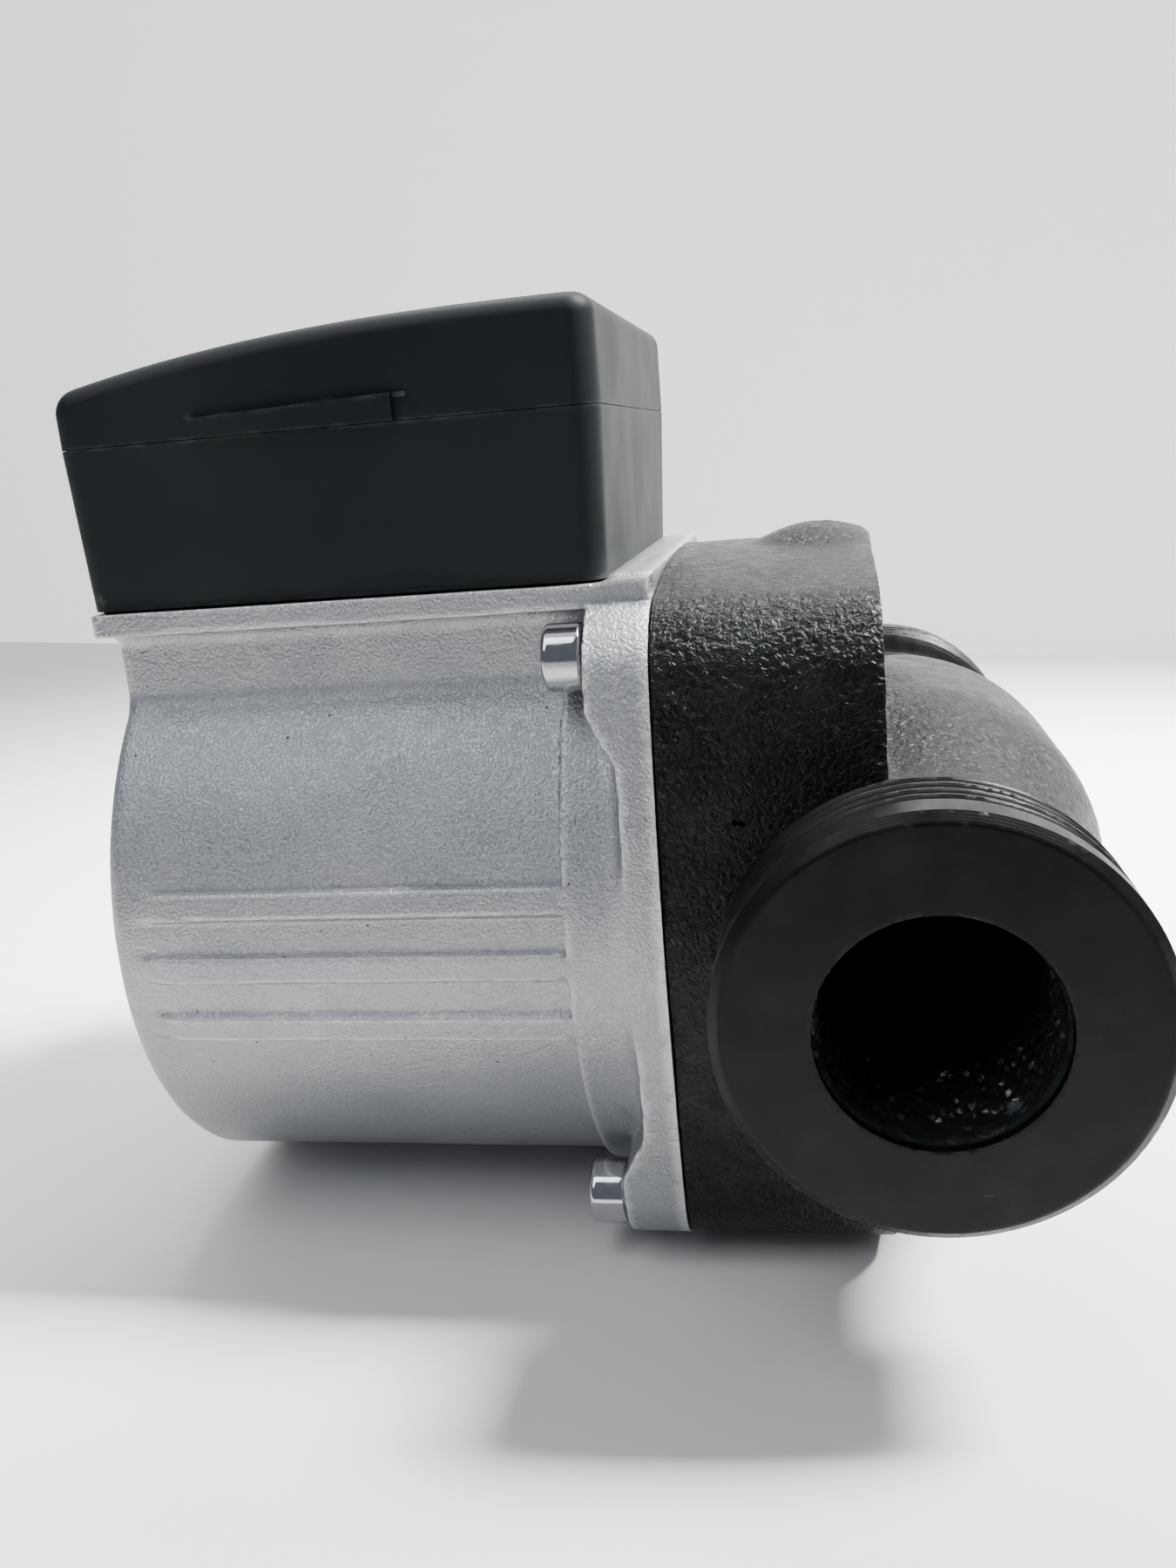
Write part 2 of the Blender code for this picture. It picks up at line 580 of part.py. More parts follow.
def stator_leads():
    """Lead bundle from the end turns up into the terminal box, and its grommet."""
    x, y, _ = LEAD_PLACE
    grommet = [(2.7 * MM, 42 * MM), (4.5 * MM, 42 * MM), (4.5 * MM, 47.8 * MM),
               (6.2 * MM, 47.8 * MM), (6.2 * MM, 49 * MM), (2.7 * MM, 49 * MM)]
    turned("lead_grommet", grommet, 16, at=LEAD_PLACE, turn=UP, material=RUBBER)
    route = [(x, y, 33.5 * MM), (x, y, 50.5 * MM), (x + 1.5 * MM, y, 53 * MM),
             (x + 5 * MM, y - 1 * MM, 54.2 * MM), (x + 9 * MM, y - 2 * MM, 54.4 * MM)]
    curve = bpy.data.curves.new("stator_leads", "CURVE")
    curve.dimensions = "3D"
    curve.bevel_depth = 2.2 * MM
    curve.bevel_resolution = 2
    curve.use_fill_caps = True
    spline = curve.splines.new("POLY")
    spline.points.add(len(route) - 1)
    for point, place_at in zip(spline.points, route):
        point.co = (*place_at, 1.0)
    leads = bpy.data.objects.new("stator_leads", curve)
    leads.parent = centre
    curve.materials.append(WIRE)
    parts.objects.link(leads)


# ---- terminal box ---------------------------------------------------------------------------
def terminal_box_base():
    """Open tray, slightly narrower at its foot, with a post for the lid screw."""
    made = bmesh.new()
    bmesh.ops.create_cube(made, size=1.0)
    for vert in made.verts:
        rim = vert.co.z > 0
        draft = 0.0 if rim else BOX_DRAFT
        x = BOX_RIGHT - draft if vert.co.x > 0 else BOX_LEFT + draft / 4
        y = math.copysign(BOX_HALF - 1.2 * draft, vert.co.y)
        vert.co = (x, y, BOX_SEAM if rim else BOX_FLOOR)
    upright = [e for e in made.edges if abs(e.verts[0].co.z - e.verts[1].co.z) > 5 * MM]
    bmesh.ops.bevel(made, geom=upright, offset=2.6 * MM, segments=4, profile=0.5, affect="EDGES")
    bmesh.ops.delete(made, geom=[f for f in made.faces if f.normal.z > 0.9], context="FACES_ONLY")
    mesh = bpy.data.meshes.new("terminal_box_base")
    made.to_mesh(mesh)
    made.free()
    tray = place(bpy.data.objects.new("terminal_box_base", mesh), (0, 0, 0), UP, BOX_PLASTIC)
    skin = tray.modifiers.new("wall", "SOLIDIFY")
    skin.thickness = BOX_WALL
    skin.offset = -1.0
    skin.use_even_offset = True
    post_at = (*LID_SCREW_PLACE, 0.0)
    gland_at = (GLAND_X, 0.0, GLAND_Z)
    join(tray, ring("lid_post", 0.0, 4.0 * MM, BOX_FLOOR + 1 * MM, 62 * MM, 20, post_at, UP))
    cut(tray, *screw_holes("post_hole", [LID_SCREW_PLACE], 50 * MM, 66 * MM))
    cut(tray, ring("knob_hole", 0.0, 3.4 * MM, -80 * MM, -68 * MM, 20, at=(0, 0, KNOB_HEIGHT)))
    cut(tray, ring("gland_hole", 0.0, 6.7 * MM, 28 * MM, 40 * MM, 24, gland_at, ALONG_Y))
    cut(tray, ring("lead_way", 0.0, 4.9 * MM, 40 * MM, 50 * MM, 16, at=LEAD_PLACE, turn=UP))
    cut(tray, *screw_holes("floor_hole", FLOOR_SCREWS, 40 * MM, 50 * MM))


def lid_height(x):
    """Top of the lid: level at the pump end, falling away towards the motor end."""
    run = max(0.0, -8 * MM - x)
    return LID_CREST - 5.9 * MM * (run / (66 * MM)) ** 2.5


def terminal_box_lid():
    """Arched lid with a grip bar on each side and a sunk fixing screw."""
    low = BOX_SEAM + GAP
    steps = 12
    outline = [(BOX_RIGHT, low), (BOX_RIGHT, LID_CREST)]
    for i in range(steps + 1):
        x = -8 * MM + (BOX_LEFT + 8 * MM) * i / steps
        outline.append((x, lid_height(x)))
    outline.append((BOX_LEFT, low))
    lid = plate("terminal_box_lid", [outline], -BOX_HALF, BOX_HALF, SECTION_Y,
                material=BOX_PLASTIC)
    made = bmesh.new()
    made.from_mesh(lid.data)
    bmesh.ops.delete(made, geom=[f for f in made.faces if f.normal.y < -0.9], context="FACES_ONLY")
    made.to_mesh(lid.data)
    made.free()
    round_edges(lid, 2.5 * MM, 3)
    skin = lid.modifiers.new("wall", "SOLIDIFY")
    skin.thickness = BOX_WALL
    skin.offset = -1.0
    skin.use_even_offset = True
    for side in (-1, 1):
        bar = [(-55.2 * MM, low), (-29.4 * MM, low),
               (-29.4 * MM, 69.1 * MM), (-55.2 * MM, 68.3 * MM)]
        inner, outer = BOX_HALF - 1 * MM, BOX_HALF + 0.9 * MM
        edges = sorted((side * inner, side * outer))
        join(lid, plate(f"grip_bar_{side}", [bar], edges[0], edges[1], SECTION_Y))
    screw_at = (*LID_SCREW_PLACE, 0.0)
    join(lid, ring("screw_tube", 0.0, 5.2 * MM, 62.4 * MM, 77.4 * MM, 20, screw_at, UP))
    seat, hole_r, well_r = 73.4 * MM, SCREW_HOLE_R, 3.6 * MM
    well = [(0.0, 60 * MM), (hole_r, 60 * MM), (hole_r, seat), (well_r, seat),
            (well_r, 85 * MM), (0.0, 85 * MM)]
    cut(lid, turned("screw_well", well, 20, at=screw_at, turn=UP))
    slotted_screw("lid_screw", LID_SCREW_PLACE, seat + GAP, 76.2 * MM, 52 * MM, 3.2 * MM, CHROME)


def slotted_screw(name, place_at, seat, top, tip, head_r, material):
    """An upright slotted screw."""
    outline = [(0.0, tip), (SCREW_R, tip), (SCREW_R, seat), (head_r, seat),
               (head_r, top - 0.5 * MM), (head_r - 0.5 * MM, top), (0.0, top)]
    x, y = place_at
    screw = turned(name, outline, 12, at=(x, y, 0), turn=UP, material=material)
    slot = boxes(name + "_slot", [((x - 2 * head_r, y - 0.35 * MM, top - 0.8 * MM),
                                   (x + 2 * head_r, y + 0.35 * MM, top + 1 * MM))])
    cut(screw, slot)


def box_gasket():
    """Rubber frame inside the rim, bridging the seam."""
    margin = BOX_WALL + 0.45 * MM
    left, right, half = BOX_LEFT + margin, BOX_RIGHT - margin, BOX_HALF - margin
    outer = rounded_rectangle(left, right, -half, half, 2 * MM, 2)
    slim = 1.2 * MM
    inner = rounded_rectangle(left + slim, right - slim, -half + slim, half - slim, 1 * MM, 2)
    plate("box_gasket", [outer, inner], BOX_SEAM - 1.5 * MM, BOX_SEAM + 2 * MM, material=RUBBER)


def box_contents():
    """Fixing screws, terminal block, run capacitor and speed switch."""
    floor = BOX_FLOOR + BOX_WALL
    for name, spot in zip(("box_screw_1", "box_screw_2", "earth_screw"), FLOOR_SCREWS):
        metal = BRASS if name == "earth_screw" else STAINLESS
        slotted_screw(name, spot, floor + GAP, floor + 2.4 * MM, 42.3 * MM, 3.0 * MM, metal)

    low, high = (-52 * MM, 12 * MM, floor + GAP), (-24 * MM, 27 * MM, 60 * MM)
    block = boxes("terminal_block", [(low, high)], PALE_PLASTIC)
    for i in range(3):
        x, y = -47 * MM + 9 * MM * i, 19.5 * MM
        cut(block, ring(f"screw_way_{i}", 0.0, 2.7 * MM, 53 * MM, 62 * MM, 12, (x, y, 0), UP))
        cut(block, ring(f"wire_way_{i}", 0.0, 1.8 * MM, 16 * MM, 30 * MM, 12,
                        (x, 0, 51 * MM), ALONG_Y))
        slotted_screw(f"terminal_screw_{i + 1}", (x, y), 56 * MM, 58 * MM, 53.4 * MM,
                      2.3 * MM, BRASS)

    can = [(0.0, -46 * MM), (10 * MM, -46 * MM), (11 * MM, -45 * MM), (11 * MM, -14 * MM),
           (10 * MM, -13 * MM), (0.0, -13 * MM)]
    turned("capacitor", can, 24, at=(0, -18 * MM, 59.2 * MM), material=GREY_PLASTIC)
    outer, inner, foot = 12.3 * MM, 11.4 * MM, -11.2 * MM
    strap = arc(0, 0, outer, 0, 180, 12) + [(-outer, foot), (-inner, foot)]
    strap += arc(0, 0, inner, 180, 0, 12) + [(inner, foot), (outer, foot)]
    plate("capacitor_clip", [strap], -33 * MM, -26 * MM, SECTION_X,
          at=(0, -18 * MM, 59.2 * MM), material=PALE_PLASTIC)

    body = ((-71.4 * MM, -11 * MM, 49 * MM), (-57.5 * MM, 11 * MM, 62.5 * MM))
    switch = boxes("speed_switch", [body], GREY_PLASTIC)
    cut(switch, ring("stem_way", 0.0, 3.4 * MM, -75 * MM, -64 * MM, 20, at=(0, 0, KNOB_HEIGHT)))


def speed_knob():
    """Three-position speed selector: disc, finger bar and stem."""
    disc_r, stem_r, face, back = 9.5 * MM, 3.0 * MM, -78 * MM, BOX_LEFT - GAP
    outline = [(0.0, face), (disc_r - 0.5 * MM, face), (disc_r, face + 0.6 * MM), (disc_r, back),
               (stem_r, back), (stem_r, -65 * MM), (0.0, -65 * MM)]
    knob = turned("speed_knob", outline, 32, at=(0, 0, KNOB_HEIGHT), material=BOX_PLASTIC)
    bar = ((KNOB_TIP, -2.4 * MM, KNOB_HEIGHT - 8 * MM), (-77 * MM, 2.4 * MM, KNOB_HEIGHT + 8 * MM))
    join(knob, boxes("finger_bar", [bar], bevel=1 * MM))


def cable_gland():
    """Gland on the far side of the box: lock nut, body, seal and cap nut."""
    at = (GLAND_X, 0, GLAND_Z)
    thread_r, bore_r, cap_bore_r = 6.4 * MM, 4.3 * MM, 6.7 * MM
    inner_face = 29.1 * MM
    plate("gland_locknut", [hexagon(15.6 * MM), arc(0, 0, cap_bore_r, 0, 345, 23)],
          -2.5 * MM, 0.0, SECTION_Y, at=(GLAND_X, inner_face, GLAND_Z), material=GREY_PLASTIC)
    gland = ring("gland_body", bore_r, thread_r, 28.6 * MM, 49 * MM, 24, at, ALONG_Y, BOX_PLASTIC)
    collar = plate("gland_collar", [hexagon(18 * MM)], -BOX_HALF - 5 * MM, -BOX_HALF - GAP,
                   SECTION_Y, at=at)
    join(gland, collar)
    cut(gland, ring("gland_bore", 0.0, bore_r, 20 * MM, 60 * MM, 24, at=at, turn=ALONG_Y))
    ring("gland_seal", 4.2 * MM, thread_r, 49.4 * MM, 51.6 * MM, 24, at, ALONG_Y, RUBBER)
    cap = [(cap_bore_r, 40.7 * MM), (9.0 * MM, 40.7 * MM), (9.0 * MM, 50 * MM), (8.0 * MM, 53 * MM),
           (6.2 * MM, 54.4 * MM), (4.5 * MM, 54.4 * MM), (4.5 * MM, 52 * MM), (cap_bore_r, 52 * MM)]
    turned("gland_nut", cap, 24, at=at, turn=ALONG_Y, material=BOX_PLASTIC)


pump_housing()
wear_ring()
motor_housing()
nameplate()
vent_screw()
flange_bolts()
rotor_can()
bearing_plate()
rotor()
impeller()
stator()
stator_leads()
terminal_box_base()
terminal_box_lid()
box_gasket()
box_contents()
speed_knob()
cable_gland()
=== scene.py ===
"""Looks of the circulator pump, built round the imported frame.

Castings, mouldings and turned parts are written as distance fields in millimetres, in
the pump's own axes: X along the shaft from the joint face between motor and housing
(motor towards -X), Y along the pipe line, Z up, zero on the shaft. A field is negative
inside the piece. Fillets and rounded edges are part of the field, and skin() lays a
quad mesh over its surface.
"""
import itertools
import json
import math

import bpy
import numpy as np
from mathutils import Matrix, Vector


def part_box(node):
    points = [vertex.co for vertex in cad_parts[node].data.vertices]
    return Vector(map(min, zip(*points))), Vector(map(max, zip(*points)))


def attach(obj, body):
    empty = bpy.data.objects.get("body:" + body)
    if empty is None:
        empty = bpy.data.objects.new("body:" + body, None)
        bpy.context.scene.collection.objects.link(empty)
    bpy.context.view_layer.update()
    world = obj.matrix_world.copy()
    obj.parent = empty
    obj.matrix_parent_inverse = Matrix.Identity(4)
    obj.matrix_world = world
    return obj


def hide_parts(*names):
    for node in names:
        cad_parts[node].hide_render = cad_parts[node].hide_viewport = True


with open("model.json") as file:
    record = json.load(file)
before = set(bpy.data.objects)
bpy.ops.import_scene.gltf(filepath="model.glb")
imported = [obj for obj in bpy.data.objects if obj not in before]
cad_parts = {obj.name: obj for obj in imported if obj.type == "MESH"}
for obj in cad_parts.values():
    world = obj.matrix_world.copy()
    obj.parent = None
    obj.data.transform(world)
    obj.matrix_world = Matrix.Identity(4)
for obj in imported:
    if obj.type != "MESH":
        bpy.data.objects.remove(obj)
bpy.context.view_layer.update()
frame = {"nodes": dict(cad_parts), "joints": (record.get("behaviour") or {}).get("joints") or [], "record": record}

MM = 0.001
JOINTS = {joint["name"]: joint for joint in frame["joints"]}
SHAFT = Vector(JOINTS["rotor_spin"]["pos_m"])      # where the shaft crosses the joint face
BODY_OF = {node: body for body, nodes in frame["record"]["behaviour"]["bodies"].items()
           for node in nodes}
SLOT_OF = {part["node"]: part["material_slot"] for part in frame["record"]["subparts"]}
COARSE = 1.0


def local_box(node):
    """Lowest and highest corner of a CAD node, in the pump's own axes, in millimetres."""
    low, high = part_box(node)
    return np.array((low - SHAFT) / MM), np.array((high - SHAFT) / MM)


# ---- sizes, read from the frame or shared by several pieces, in millimetres -----------
MOTOR_LOW, MOTOR_HIGH = local_box("motor_housing")
HOUSING_LOW, HOUSING_HIGH = local_box("pump_housing")
BASE_LOW, BASE_HIGH = local_box("terminal_box_base")
LID_HIGH = local_box("terminal_box_lid")[1]
FLOOR = HOUSING_LOW[2]              # the surface that the pump stands on
PAD_TOP = MOTOR_HIGH[2]             # where the terminal box stands on the motor
MOTOR_END = -73.5                   # outer face of the motor's closed end
MOTOR_R = 44.25                     # outside of the motor's barrel
RIB_TILTS = [math.radians(tilt) for tilt in (-11.5, -0.6, 10.2)]
PORT_FACE = HOUSING_HIGH[1]
PORT_R = 23.9                       # outside of the pipe thread
PORT_BORE = 13.1
PORT_ROOT = 47.9                    # where the machined port ends and the rough neck begins
PIPE_X = 30.2                       # the pipe line's distance from the joint face
BLOCK_BACK = 26.6                   # back of the volute block
BOLT_OFFSET = 36.5                  # the bolts' distance from the shaft, along Y and along Z
BOLT_HOLE_R = 2.8
JOINT_GAP = 0.15                    # half the gap that shows between motor and housing
BOX_WALL = 2.2                      # wall of the terminal box's tray and lid
GLAND_X, GLAND_Z = -58.0, 55.7
KNOB_Z = 56.0
LID_RIM = BASE_HIGH[2] + 0.1        # lower edge of the lid, above a hairline seam
LID_SCREW = (-14.0, 14.0)           # X and Y of the upright holes in the box
LEADS = (-62.0, 20.0)
LEAD_HOLE_R = 4.9
FLOOR_HOLES = ((-20.0, 3.0), (-50.0, 0.0), (-35.0, 3.0))
SCREW_HOLE_R = 1.85
FINE_PITCH, FINE_DEPTH = 1.5, 0.35  # thread of the bleed screw and the gland


# ---- distance fields -------------------------------------------------------------------------
# A field that rises by more than a millimetre in a millimetre, because its surface leans or
# waves, is evened out with a factor a little below 1.
def blend(a, b, radius):
    """Union, with a fillet of that radius where the two surfaces meet."""
    return np.maximum(radius, np.minimum(a, b)) - np.hypot(
        np.maximum(radius - a, 0), np.maximum(radius - b, 0))


def meet(a, b, radius):
    """Intersection, with a rounded edge of that radius."""
    return np.minimum(-radius, np.maximum(a, b)) + np.hypot(
        np.maximum(radius + a, 0), np.maximum(radius + b, 0))


def bevel(a, b, width):
    """Intersection, with a flat chamfer of that width."""
    return np.maximum(np.maximum(a, b), (a + b + width) / math.sqrt(2))


def carve(a, b, radius=0.0):
    """Takes b out of a, and rounds the edge that this leaves."""
    return meet(a, -b, radius)


def slab(v, low, high):
    """Between two values of one coordinate."""
    return np.maximum(low - v, v - high)


def rod(u, v, radius):
    """A round bar along the axis that isn't given."""
    return np.hypot(u, v) - radius


def ellipsoid(out, along, radius, depth):
    """A round ellipsoid, by the distance from its axis and along it."""
    k = np.hypot(out / radius, along / depth)
    return k * (k - 1) / np.maximum(np.hypot(out / radius**2, along / depth**2), 1e-6)


def prism(u, v, across_flats):
    """A hexagonal bar."""
    return np.maximum.reduce([
        np.abs(u * math.cos(a) + v * math.sin(a)) - across_flats / 2
        for a in (0.0, math.pi / 3, 2 * math.pi / 3)])


def ease(t):
    """A smooth step from 0 to 1."""
    t = np.clip(t, 0.0, 1.0)
    return t * t * (3 - 2 * t)


def flutes(u, v, count, depth):
    """Depth of the hollows of a fluted rim."""
    return depth * (0.5 + 0.5 * np.cos(count * np.arctan2(v, u)))


def fine_thread(along, u, v):
    """Depth of a fine screw thread along an axis, 0 on its crest."""
    turn = np.arctan2(v, u) / (2 * math.pi)
    return FINE_DEPTH * (0.5 + 0.5 * np.cos(2 * math.pi * (along / FINE_PITCH - turn)))


def ripple(x, y, z, wave, depth):
    """Slow unevenness of a cast surface, with waves of about that length."""
    k = 2 * math.pi / wave
    return depth / 3 * (
        np.sin(k * (x + 0.37 * z) + 1.1) * np.sin(k * (y - 0.21 * x) + 0.3)
        + np.sin(1.73 * k * (y + 0.41 * z)) * np.sin(1.61 * k * (x - 0.33 * y) + 2.2)
        + np.sin(1.37 * k * (z + 0.29 * y) + 0.7) * np.sin(1.29 * k * (z - 0.43 * x)))


def arched_square(y, z):
    """Joint outline: four shallow arcs with round corners, cut flat at the base."""
    half, arc, corner = 46.0, 192.0, 6.2
    side, height = np.abs(y), np.abs(z)
    across = np.hypot(side + arc - half, z) - arc
    upright = np.hypot(y, height + arc - half) - arc
    return np.maximum(meet(across, upright, corner), FLOOR - z)


# ---- meshing -------------------------------------------------------------------------------
GRID_START, GRID_SPARE = 1.37, 1.5  # cells that the grid reaches past the box below and above
SLOPE_STEP = 0.05                   # of a cell, for measuring a field's slope
CENTRING = 0.06                     # pull to the middle, where the planes leave a point free
LONGEST_MOVE = 0.9                  # of a cell, from the middle of its crossings
CELL_EDGES = [(np.array(a), np.array(b))
              for a, b in itertools.combinations(itertools.product((0, 1), repeat=3), 2)
              if sum(abs(p - q) for p, q in zip(a, b)) == 1]


def skin(field, low, high, cell):
    """Points and quads over the zero surface of a field, by dual contouring."""
    cell = np.broadcast_to(np.asarray(cell, np.float64) * COARSE, 3)
    low = np.asarray(low, np.float64) - GRID_START * cell
    counts = np.ceil((np.asarray(high) + GRID_SPARE * cell - low) / cell).astype(int) + 1
    axes = [low[i] + cell[i] * np.arange(counts[i]) for i in range(3)]
    grid = np.meshgrid(*[axis.astype(np.float32) for axis in axes], indexing="ij")
    values = field(*grid)
    inside = values < 0

    corners = np.zeros(counts - 1, np.int8)
    for i, j, k in itertools.product((0, 1), repeat=3):
        corners += inside[i:counts[0] - 1 + i, j:counts[1] - 1 + j, k:counts[2] - 1 + k]
    mixed = (corners > 0) & (corners < 8)
    cells = np.argwhere(mixed)
    index = np.full(mixed.shape, -1, np.int32)
    index[mixed] = np.arange(len(cells))

    # Each cell's point is where the tangent planes at its edge crossings meet best.
    square = np.zeros((len(cells), 3, 3))
    right = np.zeros((len(cells), 3))
    middle = np.zeros((len(cells), 3))
    crossings = np.zeros(len(cells))
    for a, b in CELL_EDGES:
        va = values[tuple((cells + a).T)].astype(float)
        vb = values[tuple((cells + b).T)].astype(float)
        crossed = np.nonzero((va < 0) != (vb < 0))[0]
        share = va[crossed] / (va[crossed] - vb[crossed])
        point = low + cell * (cells[crossed] + a + share[:, None] * (b - a))
        normal, value = slope(field, point, SLOPE_STEP * cell.min())
        plane = np.einsum("ij,ij->i", normal, point) - value
        square[crossed] += normal[:, :, None] * normal[:, None, :]
        right[crossed] += normal * plane[:, None]
        middle[crossed] += point
        crossings[crossed] += 1
    middle /= crossings[:, None]
    firm = square + CENTRING * np.eye(3)
    rest = right - np.einsum("ijk,ik->ij", square, middle)
    move = np.linalg.solve(firm, rest[:, :, None])[:, :, 0]
    reach = np.linalg.norm(move / cell, axis=1, keepdims=True) / LONGEST_MOVE
    points = middle + move / np.maximum(reach, 1.0)

    # Each grid edge that crosses the surface gives a quad between its four cells' points.
    quads = []
    for d in range(3):
        u, v = (d + 1) % 3, (d + 2) % 3
        steps = np.eye(3, dtype=int)
        before = inside[tuple(slice(0, -1) if i == d else slice(1, -1) for i in range(3))]
        after = inside[tuple(slice(1, None) if i == d else slice(1, -1) for i in range(3))]
        for starts, leaving in ((before & ~after, True), (~before & after, False)):
            at = np.argwhere(starts)
            at[:, u] += 1
            at[:, v] += 1
            ring = [at - steps[u] - steps[v], at - steps[v], at, at - steps[u]]
            if not leaving:
                ring.reverse()
            quads.append(np.stack([index[tuple(p.T)] for p in ring], axis=1))
    return points, np.concatenate(quads)


def slope(field, point, step):
    """Unit normal of a field at some points, and the distance to its surface there."""
    value = field(*point.T)
    rise = np.stack([
        field(*(point + step * axis).T) - field(*(point - step * axis).T) for axis in np.eye(3)
    ], axis=1) / (2 * step)
    size = np.maximum(np.linalg.norm(rise, axis=1), 1e-6)
    return rise / size[:, None], value / size


# ---- materials -------------------------------------------------------------------------------
class Finish:
    """A node material: one Principled shader with grain, variation and wear from nodes."""

    def __init__(self, name, colour, roughness, metallic=0.0, **sockets):
        self.material = bpy.data.materials.new(name)
        self.material.use_nodes = True
        self.tree = self.material.node_tree
        self.shader = self.tree.nodes["Principled BSDF"]
        self.colour = colour
        self.normal = None
        self.place = self.tree.nodes.new("ShaderNodeTexCoord").outputs["Object"]
        self.shader.inputs["Base Color"].default_value = (*colour, 1.0)
        self.shader.inputs["Roughness"].default_value = roughness
        self.shader.inputs["Metallic"].default_value = metallic
        for socket, value in sockets.items():
            self.shader.inputs[socket.replace("_", " ")].default_value = value

    def link(self, source, target):
        """Joins an output to an input."""
        self.tree.links.new(source, target)

    def noise(self, size, detail=3.0, stretch=(1.0, 1.0, 1.0), distortion=0.0):
        """Noise with lumps of about that size, in millimetres."""
        mapping = self.tree.nodes.new("ShaderNodeMapping")
        mapping.inputs["Scale"].default_value = [s / (size * MM) for s in stretch]
        node = self.tree.nodes.new("ShaderNodeTexNoise")
        node.inputs["Scale"].default_value = 1.0
        node.inputs["Detail"].default_value = detail
        node.inputs["Distortion"].default_value = distortion
        self.link(self.place, mapping.inputs["Vector"])
        self.link(mapping.outputs["Vector"], node.inputs["Vector"])
        return node.outputs["Fac"]

    def flecks(self, size):
        """Voronoi distance, for pits and flecks about that far apart."""
        mapping = self.tree.nodes.new("ShaderNodeMapping")
        mapping.inputs["Scale"].default_value = [1.0 / (size * MM)] * 3
        node = self.tree.nodes.new("ShaderNodeTexVoronoi")
        node.inputs["Scale"].default_value = 1.0
        self.link(self.place, mapping.inputs["Vector"])
        self.link(mapping.outputs["Vector"], node.inputs["Vector"])
        return node.outputs["Distance"]

    def spread(self, source, low, high, to_low=0.0, to_high=1.0):
        """Maps a value from one range to another, clamped."""
        node = self.tree.nodes.new("ShaderNodeMapRange")
        for socket, value in zip(("From Min", "From Max", "To Min", "To Max"),
                                 (low, high, to_low, to_high)):
            node.inputs[socket].default_value = value
        self.link(source, node.inputs["Value"])
        return node.outputs["Result"]

    def times(self, a, b):
        """Product of two values."""
        node = self.tree.nodes.new("ShaderNodeMath")
        node.operation = "MULTIPLY"
        self.link(a, node.inputs[0])
        self.link(b, node.inputs[1])
        return node.outputs[0]

    def edges(self, low, high):
        """1 on convex edges, 0 on flats: for rubbed wear, and for painted edge highlights."""
        node = self.tree.nodes.new("ShaderNodeNewGeometry")
        return self.spread(node.outputs["Pointiness"], low, high)

    def tint(self, factor, colour):
        """Lays another colour over what is there, by a factor."""
        node = self.tree.nodes.new("ShaderNodeMix")
        node.data_type = "RGBA"
        base = self.shader.inputs["Base Color"]
        if base.is_linked:
            self.link(base.links[0].from_socket, node.inputs["A"])
        else:
            node.inputs["A"].default_value = (*self.colour, 1.0)
        node.inputs["B"].default_value = (*colour, 1.0)
        self.link(factor, node.inputs["Factor"])
        self.link(node.outputs["Result"], base)

    def rough(self, source, low, high, to_low, to_high):
        """Roughness that varies with a value."""
        self.link(self.spread(source, low, high, to_low, to_high),
                  self.shader.inputs["Roughness"])

    def bump(self, height, depth):
        """A relief of that depth in millimetres, on top of any earlier one."""
        node = self.tree.nodes.new("ShaderNodeBump")
        node.inputs["Distance"].default_value = depth * MM
        node.inputs["Strength"].default_value = 1.0
        self.link(height, node.inputs["Height"])
        if self.normal is not None:
            self.link(self.normal, node.inputs["Normal"])
        self.normal = node.outputs["Normal"]
        self.link(self.normal, self.shader.inputs["Normal"])


def die_cast():
    """Blasted aluminium die casting: fine grain, edges painted brighter (partly rubbed wear, partly painted
    highlight), a few pits with painted shade in them.
    """
    made = Finish("die_cast", (0.35, 0.36, 0.38), 0.44, 1.0)
    cloud = made.noise(14.0, 3.0)
    made.tint(made.spread(cloud, 0.35, 0.68), (0.40, 0.41, 0.42))
    # Convex edges painted brighter: partly rubbed wear, partly a painted highlight along ribs and rims.
    made.tint(made.edges(0.515, 0.58), (0.86, 0.87, 0.87))
    pits = made.flecks(5.0)
    # The pits are painted dark: painted shade inside the small pits.
    made.tint(made.spread(pits, 0.055, 0.02), (0.09, 0.09, 0.10))
    made.rough(made.noise(1.1, 4.0), 0.3, 0.7, 0.34, 0.52)
    made.bump(made.spread(made.noise(0.42, 3.0, distortion=0.5), 0.34, 0.66), 0.075)
    made.bump(made.spread(pits, 0.0, 0.055), 0.06)
    return made.material


def cast_iron():
    """Black dip coating over a sand casting, with a fine crinkle that glints."""
    made = Finish("cast_iron", (0.005, 0.006, 0.0068), 0.36, Specular_IOR_Level=0.16)
    made.tint(made.spread(made.noise(7.0, 4.0), 0.42, 0.7), (0.012, 0.014, 0.0145))
    made.tint(made.spread(made.flecks(2.6), 0.10, 0.04), (0.002, 0.002, 0.002))
    made.rough(made.noise(1.8, 4.0), 0.3, 0.7, 0.22, 0.40)
    made.bump(made.spread(made.noise(0.85, 3.0, distortion=0.8), 0.36, 0.64), 0.17)
    return made.material


